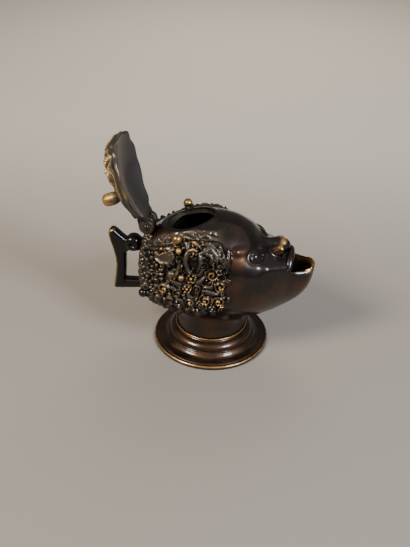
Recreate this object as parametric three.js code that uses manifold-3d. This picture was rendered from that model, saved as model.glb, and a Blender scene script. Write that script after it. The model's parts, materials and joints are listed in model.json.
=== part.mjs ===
// Bronze oil lamp in the form of a head lying face up on a turned foot.
// The hollow head holds the oil, the open mouth is the nozzle for the wick,
// and a cap of hair, hinged at the crown, covers the filling hole.
// Millimetres, +Z up, the face towards +X.
import * as THREE from 'three';
import { mergeVertices } from 'three/addons/utils/BufferGeometryUtils.js';
import Module from 'manifold-3d';

const wasm = await Module();
wasm.setup();
const { clamp, degToRad, lerp, smoothstep } = THREE.MathUtils;

// Driving dimensions
const FOOT_X = 2.7; // the foot's axis stands this far ahead of the middle of the length
const FOOT_RADIUS = 33.8;
const FOOT_TOP = 11.9;
const COLLAR_RADIUS = 20.6; // the foot's top fillet
const NECK_RADIUS = 19.4;
const NECK_TOP = 31;
const BORE_RADIUS = 16.4; // hollow of the foot and neck
const BORE_TOP = 20.5;
const WALL = 2.6; // cast wall of the head
const LIP_WALL = 1.8; // thinner wall at the mouth's rim
const LID_WALL = 2.3;
const SEAT_GAP = 0.6; // between the closed lid and the head
const GAP = 0.3; // between pieces that meet or turn
const HAIR_DEPTH = 1.4; // the mass of hair stands this far off the bare head
const WREATH = 1.6; // and this much more round the lid's seat
const TEMPLE_X = 11; // the hair ends here, towards the face,
const TEMPLE_Z = 68; // and recedes above this height
const HOLE = { x: -14.3, along: 13.4, across: 11.7 }; // filling hole, half lengths
const MOUTH_BACK = 42.2; // edge of the upper lip
const RIM_Z = 55; // height of the mouth's rim
const RIM_RISE = 1.6; // the rim turns up this much at the tip of the lower lip
const HINGE = { x: -36.6, z: 73.4, radius: 4.1, half: 6.6, centre: 2.8, pin: 1.3 };
const LID = { back: -32.6, front: 13, half: 17.4, lobe: 0.5, lobes: 9, squareness: 4, taper: 0.5 };
const LID_OPEN_DEG = 101; // turn from closed to the open stop
const LID_CURL = 2.4; // the lid's curls stand this far out
const KNOB = { x: -18.5, lean: 12 };

// The bare head from the crown to the tip of the lower lip: place along the lamp,
// height of crest and keel, half width, and the height where it is widest
const SECTIONS = [
  { x: -39.5, crest: 48, keel: 48, half: 0, widest: 48 },
  { x: -37, crest: 65, keel: 33, half: 16, widest: 49 },
  { x: -32, crest: 71, keel: 28.5, half: 21.5, widest: 49 },
  { x: -20, crest: 78, keel: 25, half: 26, widest: 49 },
  { x: -5, crest: 81.8, keel: 23, half: 27.5, widest: 49 },
  { x: 10, crest: 80.2, keel: 22.5, half: 27, widest: 49 },
  { x: 20, crest: 75.4, keel: 22.5, half: 25, widest: 49 },
  { x: 26, crest: 70, keel: 23, half: 22.8, widest: 49.5 },
  { x: 30, crest: 67, keel: 24, half: 20.8, widest: 50 },
  { x: 36, crest: 63.5, keel: 26.3, half: 17, widest: 51 },
  { x: 43, crest: 59.5, keel: 30, half: 12.4, widest: 52 },
  { x: 50, crest: 56.6, keel: 36, half: 9.4, widest: 53 },
  { x: 54, crest: 57.2, keel: 42.8, half: 6.9, widest: 54.2 },
  { x: 56.4, crest: 55.8, keel: 55.8, half: 0, widest: 55.8 },
];
const ROUNDNESS = 2.2; // exponent of the superellipse sections
const HEAD_MIDDLE = (SECTIONS[0].x + SECTIONS.at(-1).x) / 2;
const HEAD_HALF = (SECTIONS.at(-1).x - SECTIONS[0].x) / 2;

// Raised forms of the face: bars with round ends, on the middle line or on both sides of it
const FACE_FORMS = [
  { name: 'nose', from: [27.5, 0, 64.5], to: [37.2, 0, 66.4], radii: [3, 4.4], sides: 10 },
  { name: 'nostril wing', from: [33.5, 4.6, 63], to: [37.2, 4.4, 63.4], radii: [3, 3], sides: 6 },
  { name: 'brow', from: [17, 17.5, 69], to: [26, 8.5, 66.8], radii: [1.8, 2.4], sides: 6 },
  { name: 'eye', from: [23.4, 15.4, 64.6], to: [25.6, 14.6, 64], radii: [3.4, 3.4], sides: 7 },
  { name: 'upper lip', from: [40.4, 0, 60.8], to: [38.6, 9.8, 57], radii: [2.2, 2], sides: 6 },
];

// Ornaments of the hair on one side, by place along the head and height
const BERRIES = [
  { x: -16.4, z: 73, radius: 2.8, lift: 4.4 },
  { x: -14.4, z: 68.4, radius: 1.8, lift: 1.8 },
  { x: -8.9, z: 58.6, radius: 2.8, lift: 1.8 },
  { x: -10.9, z: 53, radius: 2.4, lift: 1.8 },
  { x: -34.3, z: 43, radius: 3.4, lift: 2.2 },
];
const LEAVES = [
  { x: -23.6, z: 65.6, length: 14, width: 9, turn: 25 },
  { x: -16.8, z: 61, length: 9, width: 4.4, turn: 80 },
];
const VOLUTE = { x: -6.6, z: 67, radius: 5, bar: 1.5 };
const CURLS = [
  { x: 1.4, z: 61, radius: 4.2 },
  { x: 5.8, z: 54, radius: 4 },
  { x: 3.6, z: 67, radius: 3.2 },
  { x: -2, z: 46.5, radius: 4.4 },
  { x: 6, z: 46, radius: 3.8 },
  { x: -21.6, z: 52.6, radius: 4.4 },
  { x: -12, z: 44, radius: 4.4 },
];
const BACK_ROWS = [
  { z: 64, angles: [140, 158] },
  { z: 55, angles: [134, 158] },
  { z: 46, angles: [141, 158] },
  { z: 37.5, angles: [122, 150] },
];
const BACK_CURL = 4.8;
const HAIR_AXIS_X = -6; // the back rows are counted round this upright line, from the face

// Angle along the head, so that both ends close round
const alongHead = (x) => Math.acos(clamp((HEAD_MIDDLE - x) / HEAD_HALF, -1, 1));
const STATIONS = SECTIONS.map((s) => alongHead(s.x));

// Smooth value through the stations at the angle u
function through(key, u) {
  const last = STATIONS.length - 1;
  let i = 0;
  while (i < last - 1 && u > STATIONS[i + 1]) i++;
  const slope = (k) => {
    const a = Math.max(k - 1, 0);
    const b = Math.min(k + 1, last);
    return (SECTIONS[b][key] - SECTIONS[a][key]) / (STATIONS[b] - STATIONS[a]);
  };
  const width = STATIONS[i + 1] - STATIONS[i];
  const t = (u - STATIONS[i]) / width;
  const rest = 1 - t;
  const from = SECTIONS[i][key] * (1 + 2 * t) + slope(i) * width * t;
  const to = SECTIONS[i + 1][key] * (1 + 2 * rest) - slope(i + 1) * width * rest;
  return from * rest * rest + to * t * t;
}

function sectionAt(x) {
  const u = alongHead(x);
  const section = {};
  for (const key of ['crest', 'keel', 'half', 'widest']) section[key] = through(key, u);
  return section;
}

// Half height of a section above or below its widest point, at a height
const reach = (section, z) => Math.abs((z > section.widest ? section.crest : section.keel) - section.widest);
const partner = (share) => Math.max(0, 1 - Math.abs(share) ** ROUNDNESS) ** (1 / ROUNDNESS);

// Height of the bare head's upper surface over a point of the plan
function crownHeight(x, y) {
  const s = sectionAt(x);
  return s.widest + (s.crest - s.widest) * partner(y / s.half);
}

// A point of the side of the head at a place along it and a height
function sidePoint({ x, z }) {
  const s = sectionAt(x);
  return new THREE.Vector3(x, s.half * partner((z - s.widest) / reach(s, z)), z);
}

// Distance from the bare head, negative inside
function bareDistance(p) {
  if (Math.abs(p.x - HEAD_MIDDLE) >= HEAD_HALF) return 1;
  const s = sectionAt(p.x);
  const tall = reach(s, p.z);
  const across = Math.abs(p.y / s.half) ** ROUNDNESS;
  const up = Math.abs((p.z - s.widest) / tall) ** ROUNDNESS;
  return ((across + up) ** (1 / ROUNDNESS) - 1) * Math.min(s.half, tall);
}

function normalAt(p) {
  const step = 0.2;
  const ahead = p.x - HEAD_MIDDLE;
  if (Math.abs(ahead) > HEAD_HALF - 0.01) return new THREE.Vector3(Math.sign(ahead), 0, 0);
  const slope = (axis) => {
    const farther = p.clone();
    const nearer = p.clone();
    farther[axis] += step;
    nearer[axis] -= step;
    return bareDistance(farther) - bareDistance(nearer);
  };
  return new THREE.Vector3(slope('x'), slope('y'), slope('z')).normalize();
}

// A point of the head on a level line, at an angle round the hair's axis
function levelPoint(z, degrees) {
  const angle = degToRad(degrees);
  const point = new THREE.Vector3();
  let inside = 0;
  let outside = HEAD_HALF;
  for (let step = 0; step < 24; step++) {
    const middle = (inside + outside) / 2;
    point.set(HAIR_AXIS_X + middle * Math.cos(angle), middle * Math.sin(angle), z);
    if (bareDistance(point) < 0) inside = middle;
    else outside = middle;
  }
  return point;
}

// Depth of the hair at a point of the head: behind the temples, above the neck, and fullest in a
// wreath round the lid's seat
function hairDepth(p) {
  const receding = 1.2 * Math.max(0, p.z - TEMPLE_Z);
  const behindTemple = smoothstep(TEMPLE_X - receding - p.x, 0, 3);
  const middle = (LID.front + LID.back) / 2;
  const along = Math.abs((p.x - middle) / (LID.front - middle)) ** LID.squareness;
  const across = Math.abs(p.y / LID.half) ** LID.squareness;
  const off = (along + across) ** (1 / LID.squareness);
  const roundSeat = p.z < 55 ? 1 : smoothstep(off, 1.12, 1.26);
  const wreath = p.x > LID.back ? smoothstep(p.z, 60, 68) : 0;
  const aboveNeck = smoothstep(p.z, 26, 30);
  return behindTemple * roundSeat * aboveNeck * (HAIR_DEPTH + WREATH * wreath);
}

// A closed geometry as a solid, and back
function solid(geometry) {
  const bare = geometry.clone();
  bare.deleteAttribute('normal');
  bare.deleteAttribute('uv');
  const merged = mergeVertices(bare, 1e-3);
  return new wasm.Manifold(new wasm.Mesh({
    numProp: 3,
    vertProperties: new Float32Array(merged.getAttribute('position').array),
    triVerts: new Uint32Array(merged.index.array),
  }));
}

function geometryOf(body) {
  const mesh = body.getMesh();
  const geometry = new THREE.BufferGeometry();
  geometry.setAttribute('position', new THREE.BufferAttribute(mesh.vertProperties, 3));
  geometry.setIndex(new THREE.BufferAttribute(mesh.triVerts, 1));
  geometry.computeVertexNormals();
  return geometry;
}

const joined = (first, ...rest) => rest.reduce((sum, piece) => sum.add(piece), first);
const cut = (first, ...rest) => rest.reduce((left, piece) => left.subtract(piece), first);

// A closed skin of rings round the long axis, moved off the bare head along its normals
function skin(rings, sides, offset) {
  const ball = new THREE.SphereGeometry(1, sides, rings);
  const spread = ball.getAttribute('uv');
  const place = ball.getAttribute('position');
  for (let i = 0; i < place.count; i++) {
    const x = HEAD_MIDDLE - HEAD_HALF * Math.cos(Math.PI * (1 - spread.getY(i)));
    const turn = -2 * Math.PI * (spread.getX(i) % 1);
    const s = sectionAt(x);
    const wide = Math.sign(Math.cos(turn)) * Math.abs(Math.cos(turn)) ** (2 / ROUNDNESS);
    const high = Math.sign(Math.sin(turn)) * Math.abs(Math.sin(turn)) ** (2 / ROUNDNESS);
    const tall = reach(s, s.widest + high);
    const point = new THREE.Vector3(x, s.half * wide, s.widest + tall * high);
    point.addScaledVector(normalAt(point), offset(point));
    place.setXYZ(i, point.x, point.y, point.z);
  }
  return solid(ball);
}

// A round bar along Y
function barAcross(radius, from, to, sides = 18) {
  const bar = new THREE.CylinderGeometry(radius, radius, to - from, sides);
  return solid(bar.translate(HINGE.x, (from + to) / 2, HINGE.z));
}

function block(from, to) {
  const size = to.map((value, i) => value - from[i]);
  const box = new THREE.BoxGeometry(...size);
  return solid(box.translate(...from.map((value, i) => value + size[i] / 2)));
}

function prism(outline, from, to) {
  const shape = new THREE.Shape(outline);
  const column = new THREE.ExtrudeGeometry(shape, { depth: to - from, bevelEnabled: false });
  return solid(column.translate(0, 0, from));
}

// A side view extruded across the lamp
function acrossLamp(outline, wide) {
  const slab = new THREE.ExtrudeGeometry(new THREE.Shape(outline), { depth: wide, bevelEnabled: false });
  return solid(slab.rotateX(Math.PI / 2).translate(0, wide / 2, 0));
}

// A profile of [radius, height] pairs, from its foot up, turned about Z
function turned(profile, sides) {
  const lathe = new THREE.LatheGeometry(profile.map(([r, z]) => new THREE.Vector2(r, z)), sides);
  return lathe.rotateX(Math.PI / 2);
}

// A piece that stands along +Z, turned to a direction and set at a point
function setOn(geometry, point, direction) {
  const turn = new THREE.Quaternion().setFromUnitVectors(new THREE.Vector3(0, 0, 1), direction);
  return solid(geometry.clone().applyQuaternion(turn).translate(point.x, point.y, point.z));
}

const mirrored = (v) => new THREE.Vector3(v.x, -v.y, v.z);

// A bar with round ends between two points
function bar(from, to, [r1, r2], sides) {
  const along = to.clone().sub(from);
  const length = along.length();
  const profile = [[0, -r1], [0.8 * r1, -0.6 * r1], [r1, 0], [r2, length], [0.8 * r2, length + 0.6 * r2],
    [0, length + r2]];
  return setOn(turned(profile, sides), from, along.normalize());
}

// A snail curl: a rolled ring with a boss in its middle
function curl(radius, tall = 0.42 * radius) {
  return turned([[0, -0.7 * tall], [radius, -0.7 * tall], [0.72 * radius, tall], [0.36 * radius, 0.35 * tall],
    [0, 0.9 * tall]], 6);
}

// A round berry on a short stalk
function berry(radius) {
  const shape = [[0, -1.8], [0.5, -1.8], [0.5, -0.8], [1, -0.1], [0.75, 0.65], [0, 1]];
  return turned(shape.map(([r, z]) => [r * radius, z * radius]), 6);
}

// A leaf or lock: a low dome, longer than wide
function leaf({ length, width, turn }) {
  const dome = turned([[0, -0.2 * width], [0.5, -0.2 * width], [0.34, 0.16 * width], [0, 0.26 * width]], 8);
  return dome.scale(length, width, 1).rotateZ(degToRad(turn));
}

// Both sides of the head carry the same ornament
function onBothSides(geometry, point, lift) {
  const normal = normalAt(point);
  const at = point.clone().addScaledVector(normal, lift);
  return [setOn(geometry, at, normal), setOn(geometry, mirrored(at), mirrored(normal))];
}

const onHair = (geometry, point) => onBothSides(geometry, point, hairDepth(point));

function hairOrnaments() {
  const pieces = [];
  for (const o of BERRIES) pieces.push(...onBothSides(berry(o.radius), sidePoint(o), o.lift));
  for (const o of LEAVES) pieces.push(...onHair(leaf(o), sidePoint(o)));
  for (const o of CURLS) pieces.push(...onHair(curl(o.radius), sidePoint(o)));
  for (const row of BACK_ROWS) {
    for (const angle of row.angles) {
      pieces.push(...onHair(curl(BACK_CURL), levelPoint(row.z, angle)));
    }
  }
  return [...pieces, ...volutes()];
}

// A C-shaped ridge over the ear, open towards the face
function volutes() {
  const points = [75, 145, 215, 285].map((degrees) => {
    const angle = degToRad(degrees);
    const point = sidePoint({
      x: VOLUTE.x + VOLUTE.radius * Math.cos(angle),
      z: VOLUTE.z + VOLUTE.radius * Math.sin(angle),
    });
    return point.addScaledVector(normalAt(point), hairDepth(point));
  });
  const pieces = [];
  for (let i = 1; i < points.length; i++) {
    const radii = [VOLUTE.bar, VOLUTE.bar];
    pieces.push(bar(points[i - 1], points[i], radii, 5));
    pieces.push(bar(mirrored(points[i - 1]), mirrored(points[i]), radii, 5));
  }
  return pieces;
}

function faceForms() {
  const pieces = [];
  for (const form of FACE_FORMS) {
    const from = new THREE.Vector3(...form.from);
    const to = new THREE.Vector3(...form.to);
    pieces.push(bar(from, to, form.radii, form.sides));
    if (to.y > 0) pieces.push(bar(mirrored(from), mirrored(to), form.radii, form.sides));
  }
  return pieces;
}

// Filling hole: round at the back, drawn to a blunt point in front
function holeOutline() {
  const sides = 24;
  const outline = [];
  for (let i = 0; i < sides; i++) {
    const turn = (2 * Math.PI * i) / sides;
    const along = HOLE.along * (1 + 0.08 * Math.max(0, Math.cos(turn)) ** 4);
    outline.push(new THREE.Vector2(HOLE.x + along * Math.cos(turn), HOLE.across * Math.sin(turn)));
  }
  return outline;
}

// Mouth: the plan of the lower lip less its wall, back to the upper lip
function mouthOutline() {
  const steps = 6;
  const tip = SECTIONS.at(-1).x - LIP_WALL;
  const side = [];
  for (let i = 0; i < steps; i++) {
    const x = lerp(MOUTH_BACK, tip, Math.sin(((i / steps) * Math.PI) / 2));
    side.push(new THREE.Vector2(x, sectionAt(x).half - LIP_WALL));
  }
  const other = side.map((p) => new THREE.Vector2(p.x, -p.y)).reverse();
  return [...side, new THREE.Vector2(tip, 0), ...other];
}

function lampHead() {
  const outer = skin(22, 24, hairDepth);
  const neckFoot = FOOT_TOP + GAP;
  const neck = solid(turned([[0, neckFoot], [NECK_RADIUS, neckFoot], [NECK_RADIUS - 0.5, 18],
    [NECK_RADIUS, NECK_TOP], [0, NECK_TOP]], 32));
  const lug = joined(
    barAcross(HINGE.radius, -HINGE.centre, HINGE.centre),
    block([HINGE.x - 1.5, -HINGE.centre, HINGE.z - 12], [HINGE.x + HINGE.radius, HINGE.centre, HINGE.z]),
  );
  const reservoir = skin(12, 16, (p) => -lerp(WALL, LIP_WALL, smoothstep(p.x, 34, 46)));
  const bore = solid(turned([[0, 0], [BORE_RADIUS, 0], [BORE_RADIUS, BORE_TOP], [0, BORE_TOP]], 28));
  return geometryOf(cut(
    joined(outer, neck, lug, ...faceForms(), ...hairOrnaments()),
    reservoir,
    bore,
    prism(holeOutline(), 60, 95),
    prism(mouthOutline(), 50, 62),
    acrossLamp(aboveRim(), 40),
    barAcross(HINGE.pin + GAP, -HINGE.half, HINGE.half, 12),
  ));
}

// Side view of what is cut away over the mouth: level, then turned up towards the tip
function aboveRim() {
  const tip = SECTIONS.at(-1).x;
  const corners = [[MOUTH_BACK, RIM_Z], [lerp(MOUTH_BACK, tip, 0.5), RIM_Z], [tip, RIM_Z + RIM_RISE],
    [tip + 4, RIM_Z + RIM_RISE], [tip + 4, 64], [MOUTH_BACK, 64]];
  return corners.map(([x, z]) => new THREE.Vector2(x, z));
}

// Foot: from the inner edge of its rest up the outside and down the hollow
function foot() {
  const profile = [
    [FOOT_RADIUS - 2.8, 0], [FOOT_RADIUS - 0.4, 0], [FOOT_RADIUS, 0.5], [FOOT_RADIUS, 1.7],
    [FOOT_RADIUS - 0.7, 2.4], [FOOT_RADIUS - 1.6, 2.6], [FOOT_RADIUS - 2.2, 2.2], [29, 2.7], [25.6, 4],
    [25.2, 5], [24.5, 5.4], [24.4, 6.8], [23.4, 8.6], [21.6, 9.8], [20.4, 10.2], [COLLAR_RADIUS, 11],
    [COLLAR_RADIUS, FOOT_TOP], [BORE_RADIUS, FOOT_TOP], [BORE_RADIUS, 9.4], [20.6, 6.2], [22.4, 2.4],
    [FOOT_RADIUS - 4.4, 0.9],
  ];
  return turned([...profile, profile[0]], 28);
}

// Side view of the strap, from the lower arm round the thumb rest to the knuckle
function handleOutline() {
  const arm = -42.4; // the arm meets the hair here
  const knuckle = { x: -45.4, z: 59.8, radius: 4.4 };
  const shape = new THREE.Shape();
  shape.moveTo(arm, 30.8);
  shape.lineTo(-56.2, 29.1);
  shape.quadraticCurveTo(-57.7, 29.2, -57.4, 31);
  shape.quadraticCurveTo(-55.2, 42, -55.7, 48);
  shape.quadraticCurveTo(-56.4, 54.6, -59.2, 62.6);
  shape.quadraticCurveTo(-60, 67, -57, 68.6);
  shape.quadraticCurveTo(-54, 68.6, -48.9, 62.6);
  shape.absarc(knuckle.x, knuckle.z, knuckle.radius, 2.4, -1.9, true);
  shape.quadraticCurveTo(-49.4, 54.6, -49.6, 49);
  shape.quadraticCurveTo(-49.4, 42, -50.4, 35.8);
  shape.lineTo(arm, 36);
  return shape;
}

function handle() {
  const bevel = 0.9;
  const wide = 6.4;
  const strap = new THREE.ExtrudeGeometry(handleOutline(), {
    depth: wide - 2 * bevel,
    bevelThickness: bevel,
    bevelSize: bevel,
    bevelOffset: -bevel,
    bevelSegments: 1,
    curveSegments: 4,
  });
  return strap.rotateX(Math.PI / 2).translate(0, wide / 2 - bevel, 0);
}

// A point of the closed lid's plan: part of the way out to its lobed edge
function lidPlan(angle, share) {
  const middle = (LID.back + LID.front) / 2;
  const lobe = LID.lobe * Math.cos(LID.lobes * angle) * share;
  const power = (value) => Math.sign(value) * Math.abs(value) ** (2 / LID.squareness);
  const along = power(Math.cos(angle));
  const taper = 1 - LID.taper * Math.max(0, -along) ** 1.5;
  return new THREE.Vector2(
    middle + share * (LID.front - middle + lobe) * along,
    share * (LID.half + lobe) * taper * power(Math.sin(angle)),
  );
}

// A point over the crown, off the bare head by a height along its normal
function overCrown(plan, height) {
  const point = new THREE.Vector3(plan.x, plan.y, crownHeight(plan.x, plan.y));
  return point.addScaledVector(normalAt(point), height);
}

function lidShell() {
  const rings = 3;
  const sides = 36;
  const points = [];
  const faces = [];
  for (const height of [SEAT_GAP, SEAT_GAP + LID_WALL]) {
    points.push(overCrown(lidPlan(0, 0), height));
    for (let ring = 1; ring <= rings; ring++) {
      for (let i = 0; i < sides; i++) {
        points.push(overCrown(lidPlan((2 * Math.PI * i) / sides, ring / rings), height));
      }
    }
  }
  const perLevel = 1 + rings * sides;
  const at = (level, ring, i) => level * perLevel + (ring ? 1 + (ring - 1) * sides + (i % sides) : 0);
  const quad = (a, b, c, d) => faces.push(a, b, c, a, c, d);
  for (let i = 0; i < sides; i++) {
    faces.push(at(0, 0), at(0, 1, i + 1), at(0, 1, i));
    faces.push(at(1, 0), at(1, 1, i), at(1, 1, i + 1));
    for (let ring = 1; ring < rings; ring++) {
      quad(at(0, ring, i), at(0, ring, i + 1), at(0, ring + 1, i + 1), at(0, ring + 1, i));
      quad(at(1, ring, i), at(1, ring + 1, i), at(1, ring + 1, i + 1), at(1, ring, i + 1));
    }
    quad(at(0, rings, i), at(0, rings, i + 1), at(1, rings, i + 1), at(1, rings, i));
  }
  const geometry = new THREE.BufferGeometry().setFromPoints(points);
  geometry.setIndex(faces);
  return solid(geometry);
}

// Bud on a short stem, leaning back over the hinge
function knob() {
  const bud = turned([[0, -1.6], [2.8, -1.6], [2.2, 4.2], [3.6, 7.4], [3.6, 11], [2.4, 13.4], [0, 14.3]], 8);
  const root = overCrown(new THREE.Vector2(KNOB.x, 0), SEAT_GAP + LID_WALL);
  return solid(bud.rotateY(-degToRad(KNOB.lean)).translate(root.x, root.y, root.z));
}

function lidCurls() {
  const pieces = [];
  const rows = [{ share: 0.76, radius: 4, count: 11 }, { share: 0.36, radius: 4.2, count: 5 }];
  for (const row of rows) {
    for (let i = 0; i < row.count; i++) {
      const plan = lidPlan((2 * Math.PI * i) / row.count, row.share);
      const at = overCrown(plan, SEAT_GAP + LID_WALL);
      const clear = Math.hypot(plan.x - KNOB.x, plan.y) > 5 && plan.x > LID.back + 6;
      const tall = LID_CURL * lerp(0.35, 1, smoothstep(plan.x, -16, 6)); // lower towards the hinge
      if (clear) pieces.push(setOn(curl(row.radius, tall), at, normalAt(at)));
    }
  }
  return pieces;
}

// Lid, closed, with its two knuckles; the hinge's axis is its origin
function lid() {
  const { x, z, radius, half, centre } = HINGE;
  const knuckles = [-1, 1].map((side) => {
    const [from, to] = [centre + GAP, half].map((y) => side * y).sort((a, b) => a - b);
    return joined(barAcross(radius, from, to), block([x, from, z + 0.4], [x + 8, to, z + 3.6]));
  });
  const closed = cut(
    joined(lidShell(), knob(), ...lidCurls(), ...knuckles),
    block([x - 8, -centre - GAP, z - 12], [x + radius + 0.8, centre + GAP, z + 12]),
    barAcross(HINGE.pin + GAP, -half - 1, half + 1, 12),
  );
  return geometryOf(closed).translate(-x, 0, -z);
}

function hingePin() {
  return geometryOf(barAcross(HINGE.pin, -HINGE.half - 0.8, HINGE.half + 0.8, 12));
}

function node(name, geometry, color, roughness) {
  const mesh = new THREE.Mesh(geometry, new THREE.MeshStandardMaterial({ color, metalness: 1, roughness }));
  mesh.name = name;
  return mesh;
}

const swing = new THREE.Group();
swing.position.set(HINGE.x, 0, HINGE.z);
swing.rotation.y = -degToRad(LID_OPEN_DEG);
swing.add(node('lid', lid(), 0x4f3a28, 0.45));

const lamp = new THREE.Group();
lamp.position.x = FOOT_X;
lamp.add(
  node('lamp_head', lampHead(), 0x4a3524, 0.42),
  node('foot', foot(), 0x513a26, 0.4),
  node('handle', handle(), 0x463222, 0.42),
  node('hinge_pin', hingePin(), 0x6b4e2c, 0.38),
  swing,
);

const part = new THREE.Group();
part.name = 'bronze_oil_lamp';
part.add(lamp);
export default part;
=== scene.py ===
# %% [markdown]
# # A bronze oil lamp, cell by cell
# The lamp is a hollow cast head that lies face up on a turned foot. Its mouth holds the wick, its
# crown has a filling hole, and a cap of hair on a hinge is the lid. The engineering model gives
# the places and sizes; here each piece is made again with the fine relief that a caster's wax has.

# %% Frame
import json
import math

import bmesh
import bpy
import numpy as np
from mathutils import Matrix, Vector


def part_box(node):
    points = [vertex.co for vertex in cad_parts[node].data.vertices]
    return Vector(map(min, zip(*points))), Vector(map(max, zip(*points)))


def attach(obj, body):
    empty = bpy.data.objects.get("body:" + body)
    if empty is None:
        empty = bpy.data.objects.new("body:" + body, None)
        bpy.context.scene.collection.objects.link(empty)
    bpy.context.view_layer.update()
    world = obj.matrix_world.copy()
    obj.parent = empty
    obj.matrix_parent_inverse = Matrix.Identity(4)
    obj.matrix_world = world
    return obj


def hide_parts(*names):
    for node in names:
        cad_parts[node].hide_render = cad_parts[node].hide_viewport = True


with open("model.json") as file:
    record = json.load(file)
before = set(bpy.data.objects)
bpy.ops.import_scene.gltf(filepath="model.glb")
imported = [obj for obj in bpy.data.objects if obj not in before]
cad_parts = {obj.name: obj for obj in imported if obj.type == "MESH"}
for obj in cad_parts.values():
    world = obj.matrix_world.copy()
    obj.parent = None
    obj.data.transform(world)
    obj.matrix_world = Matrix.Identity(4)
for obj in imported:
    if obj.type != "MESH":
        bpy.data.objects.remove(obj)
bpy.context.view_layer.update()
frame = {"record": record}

MM = 0.001
foot_low, foot_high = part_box("foot")
FOOT_X = (foot_low[0] + foot_high[0]) / 2 / MM
print("foot axis at x =", round(FOOT_X, 2), "mm")

# %% [markdown]
# ## The bare head
# A caster shapes the head before any hair goes on. It is a loft: at each place along the lamp
# there is a crest, a keel, a half width and a height where it is widest, and a superellipse joins
# them. The places are turned into an angle, so that the crown and the spout close round.

# %% Sections of the head
SECTIONS = np.array([
    # x, crest, keel, half width, height of the widest point, in mm from the foot's axis
    (-39.5, 48, 48, 0, 48),
    (-37, 65, 33, 16, 49),
    (-32, 71, 28.5, 21.5, 49),
    (-20, 78, 25, 26, 49),
    (-5, 81.8, 23, 27.5, 49),
    (10, 80.2, 22.5, 27, 49),
    (20, 75.4, 22.5, 25, 49),
    (26, 70, 23, 22.8, 49.5),
    (30, 67, 24, 20.8, 50),
    (36, 63.5, 26.3, 17, 51),
    (43, 59.5, 30, 12.4, 52),
    (50, 56.6, 36, 9.4, 53),
    (54, 57.2, 42.8, 6.9, 54.2),
    (56.4, 55.8, 55.8, 0, 55.8),
])
ROUND = 2.2  # exponent of the superellipse
HEAD_MIDDLE = (SECTIONS[0, 0] + SECTIONS[-1, 0]) / 2
HEAD_HALF = (SECTIONS[-1, 0] - SECTIONS[0, 0]) / 2


def along_head(x):
    return np.arccos(np.clip((HEAD_MIDDLE - x) / HEAD_HALF, -1, 1))


STATIONS = along_head(SECTIONS[:, 0])
BEFORE = np.maximum(np.arange(len(STATIONS)) - 1, 0)
AFTER = np.minimum(np.arange(len(STATIONS)) + 1, len(STATIONS) - 1)
SLOPES = (SECTIONS[AFTER] - SECTIONS[BEFORE]) / (STATIONS[AFTER] - STATIONS[BEFORE])[:, None]


def section_at(x):
    """Crest, keel, half width and widest height at places along the head."""
    u = along_head(x)
    i = np.clip(np.searchsorted(STATIONS, u, side="right") - 1, 0, len(STATIONS) - 2)
    width = STATIONS[i + 1] - STATIONS[i]
    t = (u - STATIONS[i]) / width
    rest = 1 - t
    start = SECTIONS[i].T * (1 + 2 * t) + SLOPES[i].T * width * t
    end = SECTIONS[i + 1].T * (1 + 2 * rest) - SLOPES[i + 1].T * width * rest
    _, crest, keel, half, widest = start * rest**2 + end * t**2
    return crest, keel, np.maximum(half, 1e-4), widest


def bare_head(p):
    """Distance of points from the bare head in mm, negative inside."""
    crest, keel, half, widest = section_at(p[:, 0])
    tall = np.maximum(np.where(p[:, 2] > widest, crest - widest, widest - keel), 1e-4)
    ring = (np.abs(p[:, 1] / half) ** ROUND + np.abs((p[:, 2] - widest) / tall) ** ROUND) ** (1 / ROUND)
    beyond = np.abs(p[:, 0] - HEAD_MIDDLE) - HEAD_HALF
    return np.where(beyond >= 0, beyond + 0.01, (ring - 1) * np.minimum(half, tall))


def normals_of(field, p, step=0.15):
    """Outward directions of a distance field."""
    slope = np.empty_like(p)
    for axis in range(3):
        shift = np.zeros(3)
        shift[axis] = step
        slope[:, axis] = field(p + shift) - field(p - shift)
    return slope / np.maximum(np.linalg.norm(slope, axis=1), 1e-9)[:, None]


def on_side(x, z, lift=0.0):
    """A point of the head's side, by its place along the head and its height."""
    crest, keel, half, widest = (float(v[0]) for v in section_at(np.array([x], float)))
    tall = crest - widest if z > widest else widest - keel
    y = half * max(0.0, 1 - abs((z - widest) / tall) ** ROUND) ** (1 / ROUND)
    p = np.array([[x, y, z]])
    return (p + lift * normals_of(bare_head, p))[0]


print("head from", SECTIONS[0, 0], "to", SECTIONS[-1, 0], "mm")

# %% [markdown]
# ## From worked shape to placed piece
# Every piece is modelled in millimetres from the foot's axis, because that is how a turner reads the
# lamp. These helpers put a finished mesh into the shared frame in metres, cut one piece with another
# and read or write all vertices at once.

# %% Helpers for pieces
scene = bpy.context.scene


def smoothstep(low, high, value):
    t = np.clip((value - low) / (high - low), 0, 1)
    return t * t * (3 - 2 * t)


def as_object(name, bm):
    """An object in the shared frame from a mesh in mm from the foot's axis."""
    bmesh.ops.recalc_face_normals(bm, faces=bm.faces)
    bmesh.ops.translate(bm, verts=bm.verts, vec=(FOOT_X, 0, 0))
    bmesh.ops.scale(bm, verts=bm.verts, vec=(MM, MM, MM))
    mesh = bpy.data.meshes.new(name)
    bm.to_mesh(mesh)
    bm.free()
    piece = bpy.data.objects.new(name, mesh)
    scene.collection.objects.link(piece)
    return piece


def apply_modifiers(piece):
    """Gives a piece the mesh that its modifiers make."""
    old = piece.data
    shaped = piece.evaluated_get(bpy.context.evaluated_depsgraph_get())
    piece.data = bpy.data.meshes.new_from_object(shaped)
    piece.modifiers.clear()
    bpy.data.meshes.remove(old)
    piece.data.name = piece.name


def combine(piece, other, operation="DIFFERENCE"):
    """Cuts a piece with another object, or joins it on, and removes that object."""
    tool = piece.modifiers.new("combine", "BOOLEAN")
    tool.operation = operation
    tool.solver = "MANIFOLD"
    tool.object = other
    apply_modifiers(piece)
    bpy.data.objects.remove(other)


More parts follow.
